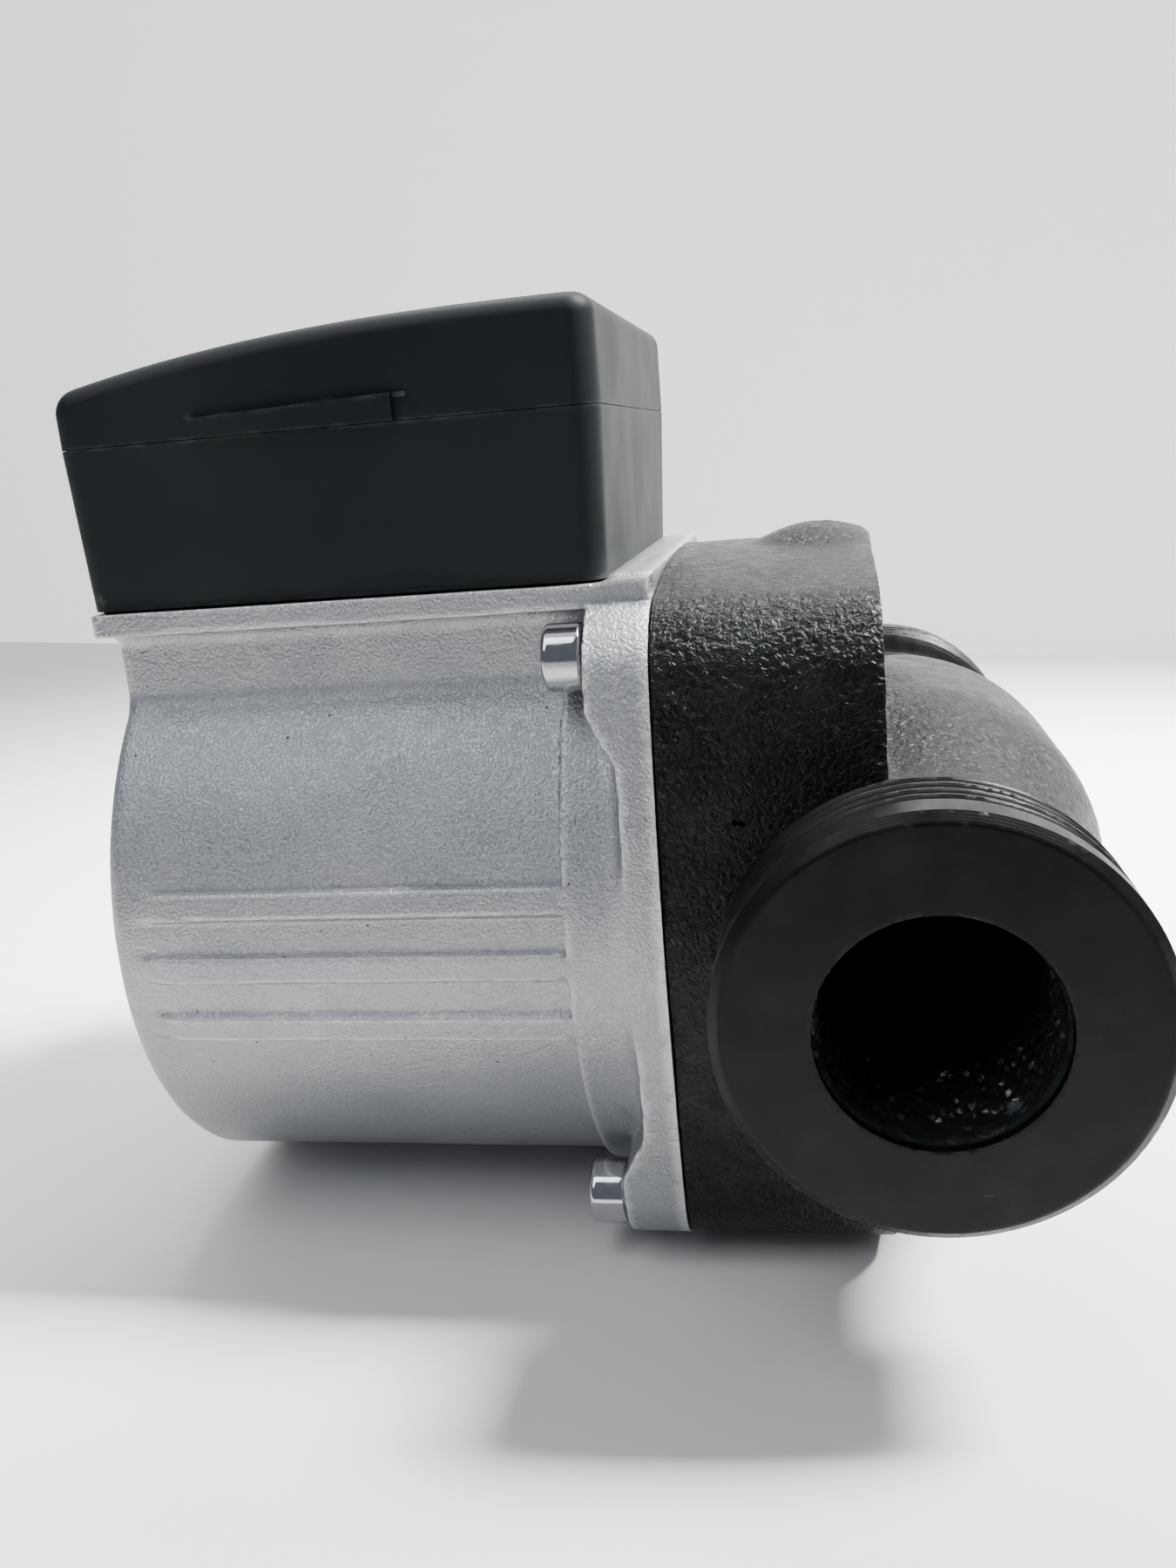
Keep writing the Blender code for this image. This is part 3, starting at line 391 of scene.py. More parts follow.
def machined_black():
    """Turned and then blackened iron on the ports."""
    made = Finish("machined_black", (0.0030, 0.0031, 0.0033), 0.34, Specular_IOR_Level=0.13)
    made.tint(made.spread(made.noise(6.0, 4.0), 0.45, 0.75), (0.007, 0.0073, 0.0076))
    scratches = made.noise(5.0, 3.0, stretch=(1.0, 1.0, 6.0), distortion=0.5)
    made.tint(made.spread(scratches, 0.74, 0.80), (0.05, 0.05, 0.05))
    made.rough(made.noise(3.0, 4.0, stretch=(1.0, 0.2, 1.0)), 0.3, 0.7, 0.30, 0.46)
    rings = made.tree.nodes.new("ShaderNodeTexWave")
    rings.wave_type = "RINGS"
    rings.rings_direction = "Y"
    rings.inputs["Scale"].default_value = 1.0
    rings.inputs["Distortion"].default_value = 1.5
    rings.inputs["Detail"].default_value = 2.0
    centre = made.tree.nodes.new("ShaderNodeMapping")
    ring_scale = 1 / (0.9 * MM)
    centre.inputs["Location"].default_value = [
        -(SHAFT.x + PIPE_X * MM) * ring_scale, 0.0, -SHAFT.z * ring_scale]
    centre.inputs["Scale"].default_value = [ring_scale] * 3
    made.link(made.place, centre.inputs["Vector"])
    made.link(centre.outputs["Vector"], rings.inputs["Vector"])
    made.bump(rings.outputs["Fac"], 0.006)
    made.bump(made.noise(0.5, 3.0), 0.006)
    return made.material


def bore_skin_painted_glints():
    """Wet-looking, flaky coating inside the ports; its colour is partly painted fill light and its lighter flakes
    are partly painted glints.
    """
    # The base colour is lighter than the outside casting, partly as painted fill light for the bore's dim inside.
    made = Finish("bore_skin_painted_glints", (0.012, 0.014, 0.015), 0.24, Specular_IOR_Level=0.5)
    # Lighter flakes: partly the coating's flaking, partly painted glints.
    made.tint(made.spread(made.noise(4.2, 4.0, distortion=1.5), 0.62, 0.70), (0.07, 0.075, 0.08))
    made.rough(made.noise(2.6, 3.0), 0.3, 0.7, 0.16, 0.42)
    made.bump(made.noise(3.4, 3.0, distortion=1.2), 0.42)
    return made.material


def box_plastic():
    """Black moulding with a fine spark-eroded skin."""
    made = Finish("box_plastic", (0.007, 0.0095, 0.011), 0.50, Specular_IOR_Level=0.15)
    made.tint(made.spread(made.noise(30.0, 3.0), 0.35, 0.7), (0.012, 0.015, 0.0165))
    made.tint(made.times(made.edges(0.52, 0.62), made.spread(made.noise(3.0, 4.0), 0.4, 0.65)),
              (0.07, 0.075, 0.078))
    made.rough(made.noise(12.0, 5.0), 0.3, 0.7, 0.46, 0.58)
    made.bump(made.noise(0.22, 3.0), 0.014)
    made.bump(made.noise(20.0, 2.0), 0.05)
    return made.material


def chrome():
    """Bright plated steel with faint smears."""
    made = Finish("chrome", (0.50, 0.50, 0.515), 0.05, 1.0)
    made.tint(made.spread(made.noise(2.0, 4.0), 0.55, 0.8), (0.42, 0.42, 0.43))
    made.rough(made.noise(1.5, 5.0), 0.3, 0.75, 0.04, 0.13)
    made.bump(made.noise(1.2, 2.0), 0.004)
    return made.material


def metal(name, colour, dull, roughness, streak=(1.0, 1.0, 1.0)):
    """Turned, drawn or stamped bare metal."""
    made = Finish(name, colour, roughness, 1.0)
    made.tint(made.spread(made.noise(4.0, 4.0), 0.45, 0.75), dull)
    made.rough(made.noise(0.8, 4.0, streak), 0.3, 0.7, roughness - 0.07, roughness + 0.1)
    made.bump(made.noise(0.3, 3.0, streak), 0.008)
    return made.material


def matt(name, colour, worn, roughness, relief=0.02):
    """Rubber, plain plastic, ceramic or carbon."""
    made = Finish(name, colour, roughness)
    made.tint(made.spread(made.noise(5.0, 4.0), 0.45, 0.75), worn)
    made.rough(made.noise(2.0, 4.0), 0.3, 0.7, roughness - 0.06, roughness + 0.08)
    made.bump(made.noise(0.4, 3.0), relief)
    return made.material


def laminated():
    """Stacked electrical steel, with the sheets showing along the shaft."""
    made = Finish("stator_iron", (0.30, 0.30, 0.32), 0.42, 1.0)
    sheets = made.noise(1.0, 1.0, (2.0, 0.01, 0.01))
    made.tint(made.spread(sheets, 0.45, 0.6), (0.18, 0.17, 0.17))
    made.rough(made.noise(2.0, 4.0), 0.3, 0.7, 0.35, 0.5)
    made.bump(sheets, 0.05)
    return made.material


def wound():
    """Varnished copper wire."""
    made = Finish("copper_winding", (0.50, 0.19, 0.07), 0.32, 0.85, Coat_Weight=0.5)
    turns = made.noise(0.9, 1.0, (0.15, 1.0, 1.0))
    made.tint(made.spread(turns, 0.4, 0.65), (0.30, 0.09, 0.03))
    made.rough(made.noise(1.5, 4.0), 0.3, 0.7, 0.25, 0.42)
    made.bump(turns, 0.15)
    return made.material


MATERIALS = {
    "die_cast": die_cast(),
    "cast_iron": cast_iron(),
    "box_plastic": box_plastic(),
    "plated_steel": chrome(),
    "stainless": metal("stainless", (0.56, 0.56, 0.57), (0.46, 0.46, 0.47), 0.30),
    "brass": metal("brass", (0.70, 0.52, 0.24), (0.52, 0.36, 0.16), 0.28),
    "copper_winding": wound(),
    "stator_iron": laminated(),
    "ceramic": matt("ceramic", (0.86, 0.84, 0.80), (0.78, 0.76, 0.71), 0.24, 0.004),
    "carbon": matt("carbon", (0.045, 0.045, 0.05), (0.07, 0.07, 0.075), 0.42, 0.01),
    "seal_rubber": matt("seal_rubber", (0.018, 0.018, 0.018), (0.035, 0.035, 0.035), 0.72),
    "composite": matt("composite", (0.28, 0.27, 0.24), (0.34, 0.33, 0.29), 0.50),
    "pale_plastic": matt("pale_plastic", (0.76, 0.76, 0.73), (0.68, 0.67, 0.62), 0.42),
    "grey_plastic": matt("grey_plastic", (0.20, 0.21, 0.22), (0.26, 0.27, 0.28), 0.46),
    "plate": metal("plate", (0.74, 0.75, 0.77), (0.64, 0.65, 0.67), 0.34, (0.1, 3.0, 0.15)),
    "wire_sleeve": matt("wire_sleeve", (0.45, 0.06, 0.05), (0.33, 0.04, 0.035), 0.46),
}
MACHINED = machined_black()
BORE_SKIN_PAINTED_GLINTS = bore_skin_painted_glints()


# ---- making pieces -----------------------------------------------------------------------------
SHARP_ANGLE = math.radians(38.0)    # faces that meet more steeply than this show a crease


def piece(name, field, node, cell, low=None, high=None, material=None, stands_for=True,
          lining=None):
    """Meshes a field, which takes the place of a CAD node and rides on its body.

    Without a box of its own the mesh fills the node's box, and without a material of its
    own it has the node's. A lining is a second material and the test for its faces.
    """
    box_low, box_high = local_box(node)
    points, quads = skin(field, box_low if low is None else low,
                         box_high if high is None else high, cell)
    world = points * MM + np.array(SHAFT)
    mesh = bpy.data.meshes.new(name)
    mesh.from_pydata(world, [], quads)
    mesh.validate()
    mesh.shade_smooth()
    mesh.set_sharp_from_angle(angle=SHARP_ANGLE)
    slot = SLOT_OF[node]
    mesh.materials.append(material or MATERIALS[slot])
    if lining is not None:
        mesh.materials.append(lining[0])
        middle = points[quads].mean(axis=1)
        mesh.polygons.foreach_set("material_index", lining[1](*middle.T).astype(np.int32))
    made = bpy.data.objects.new(name, mesh)
    bpy.context.scene.collection.objects.link(made)
    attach(made, BODY_OF[node])
    if stands_for:
        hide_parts(node)


# ---- motor casting -----------------------------------------------------------------------------
def add_ribs(shape, x, side, z):
    """Three flat ribs along each side of the barrel, which run out at the motor's end."""
    rise, half_width, edge, foot = 0.9, 1.9, 0.75, 0.45
    start, fading, end = -8.0, -66.0, -70.0
    fade = 0.25 * np.maximum(fading - x, 0.0)
    for tilt in RIB_TILTS:
        out = side * math.cos(tilt) + z * math.sin(tilt)
        across = np.abs(z * math.cos(tilt) - side * math.sin(tilt))
        rib = meet(out + fade - (MOTOR_R + rise), across - half_width, edge)
        shape = blend(shape, np.maximum(rib, slab(x, end, start)), foot)
    return shape


def add_box_mount(shape, x, side, z):
    """Neck on top of the barrel, and the pad with its lip that the terminal box stands on."""
    neck_half, neck_edge, neck_base, neck_front, neck_foot = 30.1, 2.2, 20.0, 1.0, 1.0
    neck = meet(side - neck_half, MOTOR_END - x, neck_edge)
    neck = np.maximum(neck, slab(z, neck_base, PAD_TOP - 0.5))
    shape = blend(shape, np.maximum(neck, x + neck_front), neck_foot)

    pad_half, pad_edge, pad_thick, pad_rim, pad_front, pad_foot = 35.2, 1.2, 2.9, 0.35, 0.5, 2.4
    lip_rise, lip_start, lip_run = 0.38, -5.9, 1.0
    lip = lip_rise * ease((x - lip_start) / lip_run)
    pad = meet(side - pad_half, MOTOR_LOW[0] - x, pad_edge)
    pad = meet(pad, slab(z, PAD_TOP - pad_thick, PAD_TOP + lip), pad_rim)
    return blend(shape, np.maximum(pad, x + pad_front), pad_foot)


def motor_flange(x, y, z):
    """Collar round the barrel, and the flange with its four bolt bosses."""
    collar_r, collar_end, collar_edge = 45.65, -12.4, 0.75
    plate_back, hollow = -4.3, 2.6
    collar = meet(np.hypot(y, z) - collar_r, collar_end - x, collar_edge)
    flange = blend(collar, plate_back - x, hollow)

    boss_start, boss_round, boss_back, boss_rise, boss_foot = 29.0, 4.0, -4.2, 3.8, 0.8
    slope_start, slope_run = 7.0, 10.0
    corner = meet(boss_start - np.abs(y), boss_start - np.abs(z), boss_round)
    rise = boss_rise * ease((slope_start - corner) / slope_run)
    flange = blend(flange, (boss_back - rise - x) * 0.9, boss_foot)

    outline_edge, below_pad = 0.55, 0.2
    flange = meet(flange, arched_square(y, z), outline_edge)
    return np.maximum(flange, z - PAD_TOP + below_pad)


def motor_casting(x, y, z):
    """Barrel, ribs, neck and pad for the terminal box, flange with its bolt bosses."""
    side, height = np.abs(y), np.abs(z)
    r = np.hypot(y, z)
    end_edge, flange_foot = 2.4, 0.5
    shape = meet(r - MOTOR_R, MOTOR_END - x, end_edge)
    shape = add_ribs(shape, x, side, z)
    shape = add_box_mount(shape, x, side, z)
    shape = blend(shape, motor_flange(x, y, z), flange_foot)
    shape = shape - ripple(x, y, z, 26.0, 0.05)

    bore_r, end_wall, bore_edge = 41.0, 3.2, 2.0
    seat_r, seat_depth, vent_r = 43.2, 3.9, 8.7
    vent_end, bolts_end, leads_end, screws_end = -60.0, -20.0, 30.0, 41.9
    bore = np.maximum(meet(r - bore_r, MOTOR_END + end_wall - x, bore_edge), x + seat_depth)
    seat = np.maximum(r - seat_r, -seat_depth - x)
    shape = carve(shape, np.minimum(bore, seat))
    shape = carve(shape, np.maximum(r - vent_r, x - vent_end), 0.4)
    bolts = rod(side - BOLT_OFFSET, height - BOLT_OFFSET, BOLT_HOLE_R)
    shape = carve(shape, np.maximum(bolts, bolts_end - x), 0.2)
    leads = rod(x - LEADS[0], y - LEADS[1], LEAD_HOLE_R)
    shape = carve(shape, np.maximum(leads, leads_end - z), 0.3)
    for hole_x, hole_y in FLOOR_HOLES:
        screw = rod(x - hole_x, y - hole_y, SCREW_HOLE_R)
        shape = carve(shape, np.maximum(screw, screws_end - z))
    return np.maximum(shape, x + JOINT_GAP)


# ---- pump housing ------------------------------------------------------------------------------
def volute_block(x, y, z):
    """Block behind the joint face, with the draft and the line that its mould's halves leave."""
    height = np.abs(z)
    lean, lean_height, lean_run = 0.55, 22.0, 11.0
    step, step_run, line_width, edge = 0.30, 0.5, 0.8, 0.45
    draft = (lean * ease(np.minimum(height, lean_height - height) / lean_run)
             + step * ease(-z / step_run))
    draft = draft - step * np.exp(-(z / line_width) ** 2)
    return meet(arched_square(y, z) + draft, x - BLOCK_BACK, edge)


def dome_cap(x, y, z):
    """Half of a flat round ellipsoid on the back of the block, in line with the shaft."""
    radius, depth, sunk = 27.5, 18.0, 6.0
    dome = ellipsoid(np.hypot(y, z), np.maximum(x - BLOCK_BACK, 0.0), radius, depth)
    return np.maximum(dome, BLOCK_BACK - sunk - x)


def top_boss(x, y, z):
    """Half of a round ellipsoid on top of the block, cut flat by the block's back."""
    radius, rise, middle_x, base, sunk, edge = 8.0, 4.8, 19.6, 43.6, 4.0, 1.2
    boss = ellipsoid(np.hypot(x - middle_x, y), z - base, radius, rise)
    return np.maximum(meet(boss, x - BLOCK_BACK, edge), base - sunk - z)


def water_way(x, y, z):
    """Room for the wheel, chamber, elbow from the suction port, and the delivery way."""
    r = np.hypot(y, z)
    pipe_r = np.hypot(x - PIPE_X, z)
    wheel_r, wheel_depth, chamber_r, chamber_back = 38.4, 12.6, 38.0, 22.2
    eye_r, eye_wall_r, front = 15.9, 19.5, 11.6
    wheel_room = np.maximum(r - wheel_r, x - wheel_depth)
    chamber = np.maximum(r - chamber_r, slab(x, front, chamber_back))

    # The wall of the suction elbow stands in the chamber, which gives way to it. The elbow
    # widens towards the shaft and ends past it, and so does the way inside.
    wall_r, wall_swell, wall_end = 19.0, 4.2, 17.0
    way_swell, way_end, delivery_start = 2.3, 13.0, 21.3
    wall_r = wall_r + wall_swell * ease((30.0 + y) / 10.0) * ease((17.5 - y) / 9.0)
    elbow = np.maximum(pipe_r - wall_r, y - wall_end)
    chamber = carve(carve(chamber, elbow), np.maximum(r - eye_wall_r, wheel_depth - x))
    water = np.minimum(wheel_room, chamber)
    water = np.minimum(water, np.maximum(r - eye_r, slab(x, front, PIPE_X)))
    way_r = PORT_BORE + way_swell * ease((y + 34.0) / 22.0) * ease((13.3 - y) / 12.0)
    suction = np.maximum(pipe_r - way_r, y - way_end)
    delivery = np.maximum(pipe_r - PORT_BORE, delivery_start - y)
    water = np.minimum(water, np.minimum(suction, delivery))
    return water + ripple(y, z, x, 5.3, 0.35)


def housing_casting(x, y, z):
    """Volute block, dome, pipe barrel with its necks, and the boss on top."""
    side, height = np.abs(y), np.abs(z)
    neck_r, belly, belly_end, belly_run = 20.6, 5.7, 38.0, 27.0
    barrel_r = neck_r + belly * ease((belly_end - side) / belly_run)
    barrel = np.maximum((np.hypot(x - PIPE_X, z) - barrel_r) * 0.95, side - PORT_ROOT)
    dome_foot, barrel_foot, boss_foot = 1.2, 1.6, 2.4
    shape = blend(volute_block(x, y, z), dome_cap(x, y, z), dome_foot)
    shape = blend(shape, barrel, barrel_foot)
    shape = blend(shape, top_boss(x, y, z), boss_foot)
    shape = shape - ripple(x, y, z, 12.0, 0.07) - ripple(z, x, y, 3.7, 0.035)

    dimple_x, dimple_z, dimple_r = 20.6, 50.6, 2.9
    dimple = np.sqrt((x - dimple_x) ** 2 + y**2 + (z - dimple_z) ** 2) - dimple_r
    shape = carve(shape, dimple, 0.2)
    shape = np.maximum(shape, FLOOR - z)
    shape = carve(shape, water_way(x, y, z), 0.6)
    bolts, bolts_end = rod(side - BOLT_OFFSET, height - BOLT_OFFSET, BOLT_HOLE_R), 14.0
    return np.maximum(carve(shape, np.maximum(bolts, x - bolts_end), 0.2), JOINT_GAP - x)


def port(sign):
    """Threaded end of one port: pipe thread, smooth lead-in, flat face and rough bore."""
    pitch, depth, land = 2.309, 1.1, 4.5
    first_turn, relief_depth, relief_end = 48.6, 3.2, 50.4
    chamfer, lead_in, step_depth, roughness = 0.9, 2.0, 0.35, 0.5

    def field(x, y, z):
        px = x - PIPE_X
        r = np.hypot(px, z)
        along = sign * y
        turn = np.arctan2(z, px) / (2 * math.pi)
        phase = along / pitch - turn
        wave = 0.5 - 0.5 * np.cos(2 * math.pi * phase)
        cut = (depth * wave**1.3 * ease((PORT_FACE - land - along) / 0.8)
               * ease((along - first_turn) / 1.5))
        relief = relief_depth * ease((relief_end - along) / 2.4)
        outer = (r - PORT_R + cut) * 0.8
        outer = np.maximum(outer, (r - PORT_R + relief) * 0.8)
        shape = bevel(outer, along - PORT_FACE, chamfer)
        shape = np.maximum(shape, PORT_ROOT - along)
        rough = ripple(x, y, z, 3.1, roughness) * ease((PORT_FACE - lead_in - along) / 4.0)
        step = step_depth * ease((PORT_FACE - 1.0 - along) / 1.2)
        return carve(shape, r - PORT_BORE + step + rough, 0.25)
    return field


def in_bore(x, y, z):
    """Whether a face of a port is inside its bore."""
    return (np.hypot(x - PIPE_X, z) < PORT_BORE + 0.6) & (np.abs(y) < PORT_FACE - 1.2)


# ---- bolts, terminal box and small parts ---------------------------------------------------------
def bolt(y0, z0):
    """Socket-head bolt: rounded head with a hexagon socket, and its shank."""
    seat, head, radius, round_edge = -8.3, -13.3, 4.25, 0.75
    shank_r, tip, socket_flats, socket_depth = 2.5, 12.4, 4.0, 2.5

    def field(x, y, z):
        u, v = y - y0, z - z0
        cap = meet(rod(u, v, radius), slab(x, head, seat), round_edge)
        shank = meet(rod(u, v, shank_r), slab(x, seat - 1.0, tip), 0.4)
        socket = np.maximum(prism(u, v, socket_flats), x - head - socket_depth)
        return carve(np.minimum(cap, shank), socket, 0.15)
    return field


def box_walls(x, y, z):
    """Distance to the upright walls of the terminal box, which lean out towards the rim."""
    motor_lean, pump_lean, side_lean, corner = 0.25, 1.0, 1.2, 3.2
    t = np.clip((z - BASE_LOW[2]) / (BASE_HIGH[2] - BASE_LOW[2]), 0.0, 1.0)
    left, right = BASE_LOW[0] + motor_lean * (1 - t), BASE_HIGH[0] - pump_lean * (1 - t)
    half = BASE_HIGH[1] - side_lean * (1 - t)
    return meet(np.abs(y) - half, slab(x, left, right), corner)


def screw_post(x, y, z, floor):
    """Post with four gussets that takes the lid's screw."""
    radius, top, gusset_top, gusset_reach, gusset_half = 4.0, 62.0, 60.0, 6.5, 0.6
    px, py = x - LID_SCREW[0], y - LID_SCREW[1]
    post = meet(rod(px, py, radius), z - top, 0.3)
    post = np.maximum(post, floor - 1.0 - z)
    for gusset in (0.0, math.pi / 2):
        u = px * math.cos(gusset) + py * math.sin(gusset)
        v = -px * math.sin(gusset) + py * math.cos(gusset)
        web = np.maximum(slab(u, -gusset_reach, gusset_reach) + 0.3 * (z - floor),
                         np.abs(v) - gusset_half)
        post = np.minimum(post, np.maximum(web, slab(z, floor - 1.0, gusset_top)))
    return post


def box_base(x, y, z):
    """Tray of the terminal box."""
    floor = BASE_LOW[2] + BOX_WALL
    knob_hole_r, gland_hole_r = 3.4, 6.7
    inside_end, inside_side, above_floor = -60.0, 25.0, 50.0
    walls = box_walls(x, y, z)
    shape = meet(walls, slab(z, BASE_LOW[2], BASE_HIGH[2]), 0.12)
    shape = carve(shape, meet(walls + BOX_WALL, floor - z, 1.0), 0.2)
    shape = blend(shape, screw_post(x, y, z, floor), 0.4)
    pilot = rod(x - LID_SCREW[0], y - LID_SCREW[1], SCREW_HOLE_R)
    shape = carve(shape, np.maximum(pilot, above_floor - z))
    knob_hole = rod(y, z - KNOB_Z, knob_hole_r)
    shape = carve(shape, np.maximum(knob_hole, x - inside_end), 0.2)
    gland_hole = rod(x - GLAND_X, z - GLAND_Z, gland_hole_r)
    shape = carve(shape, np.maximum(gland_hole, inside_side - y), 0.2)
    lead_hole = rod(x - LEADS[0], y - LEADS[1], LEAD_HOLE_R)
    shape = carve(shape, np.maximum(lead_hole, z - above_floor), 0.2)
    for hole_x, hole_y in FLOOR_HOLES:
        screw = rod(x - hole_x, y - hole_y, SCREW_HOLE_R)
        shape = carve(shape, np.maximum(screw, z - above_floor))
    return shape


def grip_bar(x, y, z):
    """Slightly sloping bar on both long sides of the lid, with a thin ledge along its top."""
    left, right, length, left_top, rise, inner = -55.2, -29.4, 25.8, 68.3, 0.8, 30.0
    ledge_set_back, ledge_left, ledge_right, ledge_thick = 0.55, -54.0, -27.6, 0.6
    side = np.abs(y)
    top = left_top + rise * (x - left) / length
    bar = np.maximum.reduce([side - LID_HIGH[1], inner - side, slab(x, left, right)])
    bar = meet(bar, z - top, 0.12)
    ledge = np.maximum.reduce([side - LID_HIGH[1] + ledge_set_back, inner - side,
                               slab(x, ledge_left, ledge_right), slab(z, top - ledge_thick, top)])
    return np.maximum(np.minimum(bar, ledge), LID_RIM - z)


def box_lid(x, y, z):
    """Arched lid: level at the pump end and falling towards the motor end."""
    edge, fall, fall_start, fall_run, curve = 2.5, 5.9, -8.0, 66.0, 2.5
    run = np.maximum(fall_start - x, 0.0) / fall_run
    top = LID_HIGH[2] - fall * run**curve
    lean = 1.0 / np.sqrt(1.0 + (fall * curve / fall_run * run**(curve - 1.0)) ** 2)
    walls = box_walls(x, y, z)
    roof = (z - top) * lean
    shape = meet(walls, roof, edge)
    shape = meet(shape, LID_RIM - z, 0.1)
    shape = blend(shape, grip_bar(x, y, z), 0.2)

    tube_r, tube_end, head_r, head_seat, hole_r = 5.2, 62.4, 3.6, 73.4, 1.9
    px, py = x - LID_SCREW[0], y - LID_SCREW[1]
    room = meet(meet(walls + BOX_WALL, roof + BOX_WALL, edge - 1.0), LID_RIM - 5.0 - z, 0.2)
    tube = np.maximum(rod(px, py, tube_r), tube_end - z)
    room = carve(room, tube, 0.3)
    shape = carve(shape, room, 0.2)
    shape = np.minimum(shape, np.maximum(tube, roof + 1.0))
    well = np.minimum(np.maximum(rod(px, py, head_r), head_seat - z), rod(px, py, hole_r))
    return carve(shape, well, 0.25)


def knob(x, y, z):
    """Speed selector: disc with a fluted rim, finger bar and stem."""
    w = z - KNOB_Z
    r = np.hypot(y, w)
    disc_r, bar_half_width, bar_half_length, stem_r = 9.5, 2.4, 8.0, 3.0
    disc = meet(r - disc_r + flutes(y, w, 24, 0.22), slab(x, -78.0, -74.7), 0.6)
    bar = meet(slab(y, -bar_half_width, bar_half_width),
               slab(w, -bar_half_length, bar_half_length), 1.2)
    bar = meet(bar, slab(x, -82.5, -76.0), 0.7)
    stem = meet(r - stem_r, slab(x, -76.0, -65.0), 0.4)
    mark = np.maximum(rod(y, w - 6.0, 0.7), x + 82.1)
    return carve(np.minimum(blend(disc, bar, 0.6), stem), mark, 0.1)


def vent_screw(x, y, z):
    """Slotted bleed screw with a rounded head."""
    r = np.hypot(y, z)
    head_r, shank_r, slot_half, slot_floor = 10.4, 7.3, 1.1, -76.3
    head = meet(r - head_r, slab(x, -77.8, -74.7), 0.9)
    shank = meet((r - shank_r + fine_thread(x, y, z)) * 0.85, slab(x, -75.0, -68.6), 0.4)
    slot = np.maximum(np.abs(z) - slot_half, x - slot_floor)
    return carve(np.minimum(head, shank), slot, 0.2)


def end_plate(x, y, z):
    """Blank ring-shaped plate with two raised rim lines."""
    inner_r, outer_r, middle_r, line_offset, line_height = 13.0, 33.0, 23.0, 8.6, 0.12
    r = np.hypot(y, z)
    low, high = local_box("nameplate")
    face = line_height * ease((1.0 - np.abs(np.abs(r - middle_r) - line_offset)) / 0.3)
    return meet(slab(r, inner_r, outer_r), slab(x, low[0] + line_height - face, high[0]), 0.1)


def gland_body(x, y, z):
    """Gland: fine thread, hexagon collar and cable bore."""
    u, w = x - GLAND_X, z - GLAND_Z
    r = np.hypot(u, w)
    tube_r, collar_flats, collar_r, bore_r = 6.4, 18.0, 9.9, 4.3
    tube = meet((r - tube_r + fine_thread(y, u, w)) * 0.85, slab(y, 28.6, 49.0), 0.3)
    collar = meet(meet(prism(u, w, collar_flats), r - collar_r, 0.3), slab(y, 35.6, 40.3), 0.5)
    return carve(np.minimum(tube, collar), r - bore_r, 0.3)


def gland_cap(x, y, z):
    """Cap nut of the gland, with grip flutes and a domed mouth."""
    u, w = x - GLAND_X, z - GLAND_Z
    r = np.hypot(u, w)
    radius, dome, inner_r, mouth_r = 9.0, 2.6, 6.7, 4.5
    flute = flutes(u, w, 12, 0.35) * ease((50.0 - y) / 1.0)
    outer = radius - flute - dome * ease((y - 49.0) / 5.6)
    cap = meet((r - outer) * 0.9, slab(y, 40.7, 54.4), 0.5)
    hollow = np.minimum(np.maximum(r - inner_r, y - 52.0), r - mouth_r)
    return carve(cap, hollow, 0.3)


# ---- the pieces, with the width of their mesh in millimetres ----------------------------------
piece("motor_casting", motor_casting, "motor_housing", (0.9, 0.55, 0.55))
piece("housing_casting", housing_casting, "pump_housing", 0.8,
      low=(HOUSING_LOW[0], -PORT_ROOT, FLOOR), high=(HOUSING_HIGH[0], PORT_ROOT, HOUSING_HIGH[2]))
for port_name, sign in (("suction_port", -1), ("delivery_port", 1)):
    ends = sorted((sign * PORT_ROOT, sign * PORT_FACE))
    piece(port_name, port(sign), "pump_housing", 0.36, material=MACHINED, stands_for=False,
          low=(PIPE_X - PORT_R, ends[0], -PORT_R), high=(PIPE_X + PORT_R, ends[1], PORT_R),
          lining=(BORE_SKIN_PAINTED_GLINTS, in_bore))
for bolt_y, bolt_z in itertools.product((-BOLT_OFFSET, BOLT_OFFSET), repeat=2):
    bolt_node = next(node for node in SLOT_OF if node.startswith("flange_bolt")
                     and np.allclose(sum(local_box(node))[1:] / 2, (bolt_y, bolt_z), atol=0.5))
    piece(bolt_node.replace("flange", "socket"), bolt(bolt_y, bolt_z), bolt_node, 0.22)
piece("box_tray", box_base, "terminal_box_base", 0.5)
piece("box_cover", box_lid, "terminal_box_lid", 0.42)
piece("selector_knob", knob, "speed_knob", 0.3)
piece("bleed_screw", vent_screw, "vent_screw", 0.3)
piece("end_plate", end_plate, "nameplate", 0.4)
piece("gland_hexagon", gland_body, "gland_body", 0.35)
piece("gland_cap", gland_cap, "gland_nut", 0.35)

# Every CAD node has its material too. Those that no mesh replaces show as they are.
for node_name, node in frame["nodes"].items():
    node.data.materials.clear()
    node.data.materials.append(MATERIALS[SLOT_OF[node_name]])


# ---- floor, wall, light and camera -------------------------------------------------------------
def stage_plane(name, centre, turn, size, colour, glow=0.0):
    """A large plain sheet behind or below the pump, with a faint cloudiness."""
    mesh = bpy.data.meshes.new(name)
    half = size / 2
    mesh.from_pydata([(-half, -half, 0), (half, -half, 0), (half, half, 0), (-half, half, 0)],
                     [], [(0, 1, 2, 3)])
    sheet = bpy.data.objects.new(name, mesh)
    sheet.location = centre
    sheet.rotation_euler = turn
    bpy.context.scene.collection.objects.link(sheet)
    paper = Finish(name, colour, 0.85)
    paper.tint(paper.spread(paper.noise(300.0, 2.0), 0.3, 0.7),
               tuple(0.97 * part for part in colour))
    paper.shader.inputs["Emission Color"].default_value = (*colour, 1.0)
    paper.shader.inputs["Emission Strength"].default_value = glow
    mesh.materials.append(paper.material)


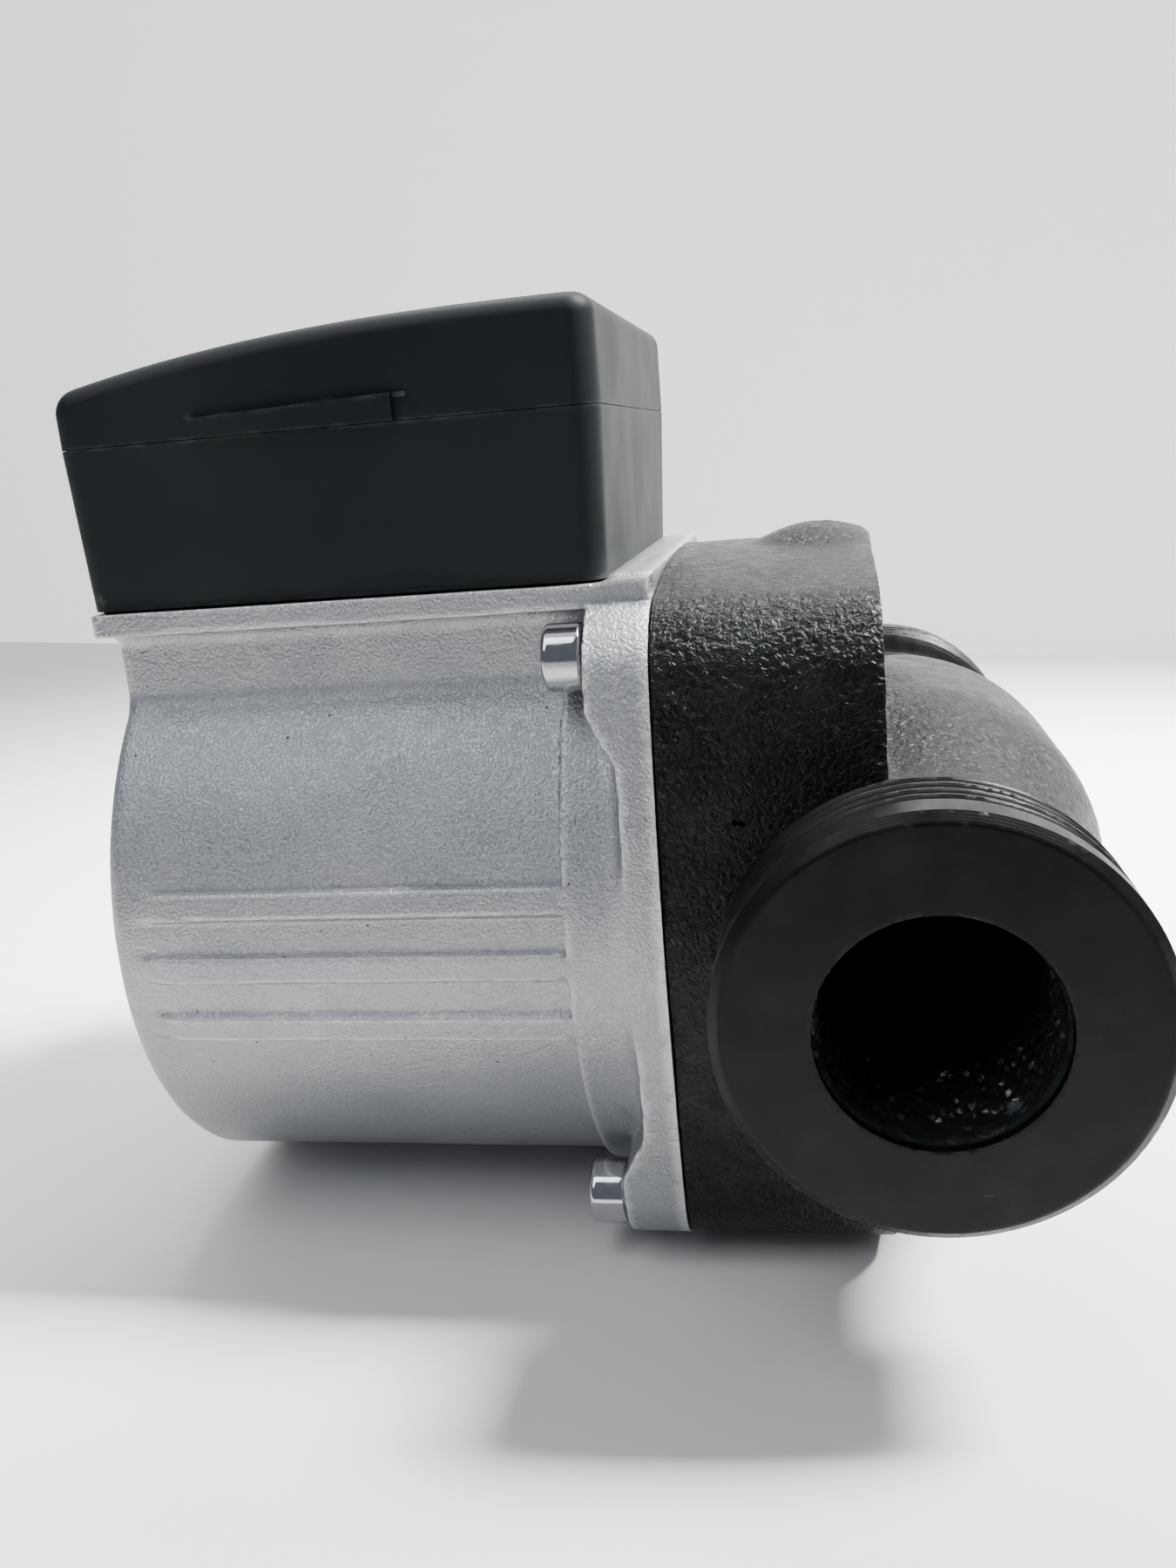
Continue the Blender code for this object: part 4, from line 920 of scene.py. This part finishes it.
def area_light(name, place, aim, size, power, colour, spread):
    """A soft box, with a grid that keeps its light within a spread."""
    lamp = bpy.data.lights.new(name, "AREA")
    lamp.shape = "RECTANGLE"
    lamp.size, lamp.size_y = size
    lamp.energy = power
    lamp.color = colour
    lamp.spread = spread
    made = bpy.data.objects.new(name, lamp)
    made.location = place
    made.rotation_euler = (Vector(aim) - Vector(place)).to_track_quat("-Z", "Y").to_euler()
    bpy.context.scene.collection.objects.link(made)


WARM = (1.0, 0.985, 0.96)
stage_plane("floor", (0.0, 0.0, 0.0), (0.0, 0.0, 0.0), 8.0, (0.82, 0.815, 0.80))
stage_plane("wall", (-0.93, 0.857, 1.5), (math.pi / 2, 0.0, -0.399), 3.0, (0.80, 0.79, 0.77),
            glow=1.3)

# The main light: from the right and a little behind, in a narrow beam.
area_light("window", (0.70, 0.25, 1.05), (0.04, 0.24, 0.0), (0.36, 0.36), 10.5,
           WARM, math.radians(35.0))
area_light("ceiling", (-0.20, 0.0, 0.95), (0.0, 0.0, 0.0), (0.8, 0.8), 2.0,
           (0.93, 0.965, 1.0), math.pi)
# This one brightens the top of the motor's barrel.
area_light("sky", (-0.38, -0.48, 0.85), (-0.03, -0.03, 0.03), (0.40, 0.75), 3.9,
           (0.94, 0.97, 1.0), math.pi)
# This one is caught by the upper edges.
area_light("rim", (0.02, 0.40, 0.95), (0.0, 0.0, 0.04), (0.60, 0.16), 1.6,
           WARM, math.radians(70.0))

world = bpy.data.worlds.new("room")
bpy.context.scene.world = world
world.use_nodes = True
background = world.node_tree.nodes["Background"]
background.inputs["Color"].default_value = (0.80, 0.85, 1.0, 1.0)
background.inputs["Strength"].default_value = 0.22


def camera():
    """Close, slightly above and turned a little to the left, with a small roll."""
    yaw, pitch, roll = 0.187, 0.252, -0.084
    right = Vector((math.cos(yaw), math.sin(yaw), 0.0))
    ahead = Vector((-math.sin(yaw) * math.cos(pitch), math.cos(yaw) * math.cos(pitch),
                    -math.sin(pitch)))
    down = ahead.cross(right)
    across = math.cos(roll) * right - math.sin(roll) * down
    below = math.sin(roll) * right + math.cos(roll) * down
    eye = Vector((19.432, -189.102, 60.509)) * MM + SHAFT
    lens = bpy.data.cameras.new("camera")
    lens.lens = 29.6
    lens.sensor_width = 36.0
    lens.sensor_fit = "AUTO"
    lens.clip_start = 0.01
    made = bpy.data.objects.new("camera", lens)
    turn = Matrix((across, -below, -ahead)).transposed()
    made.matrix_world = Matrix.Translation(eye) @ turn.to_4x4()
    bpy.context.scene.collection.objects.link(made)
    bpy.context.scene.camera = made


camera()

bpy.context.view_layer.update()
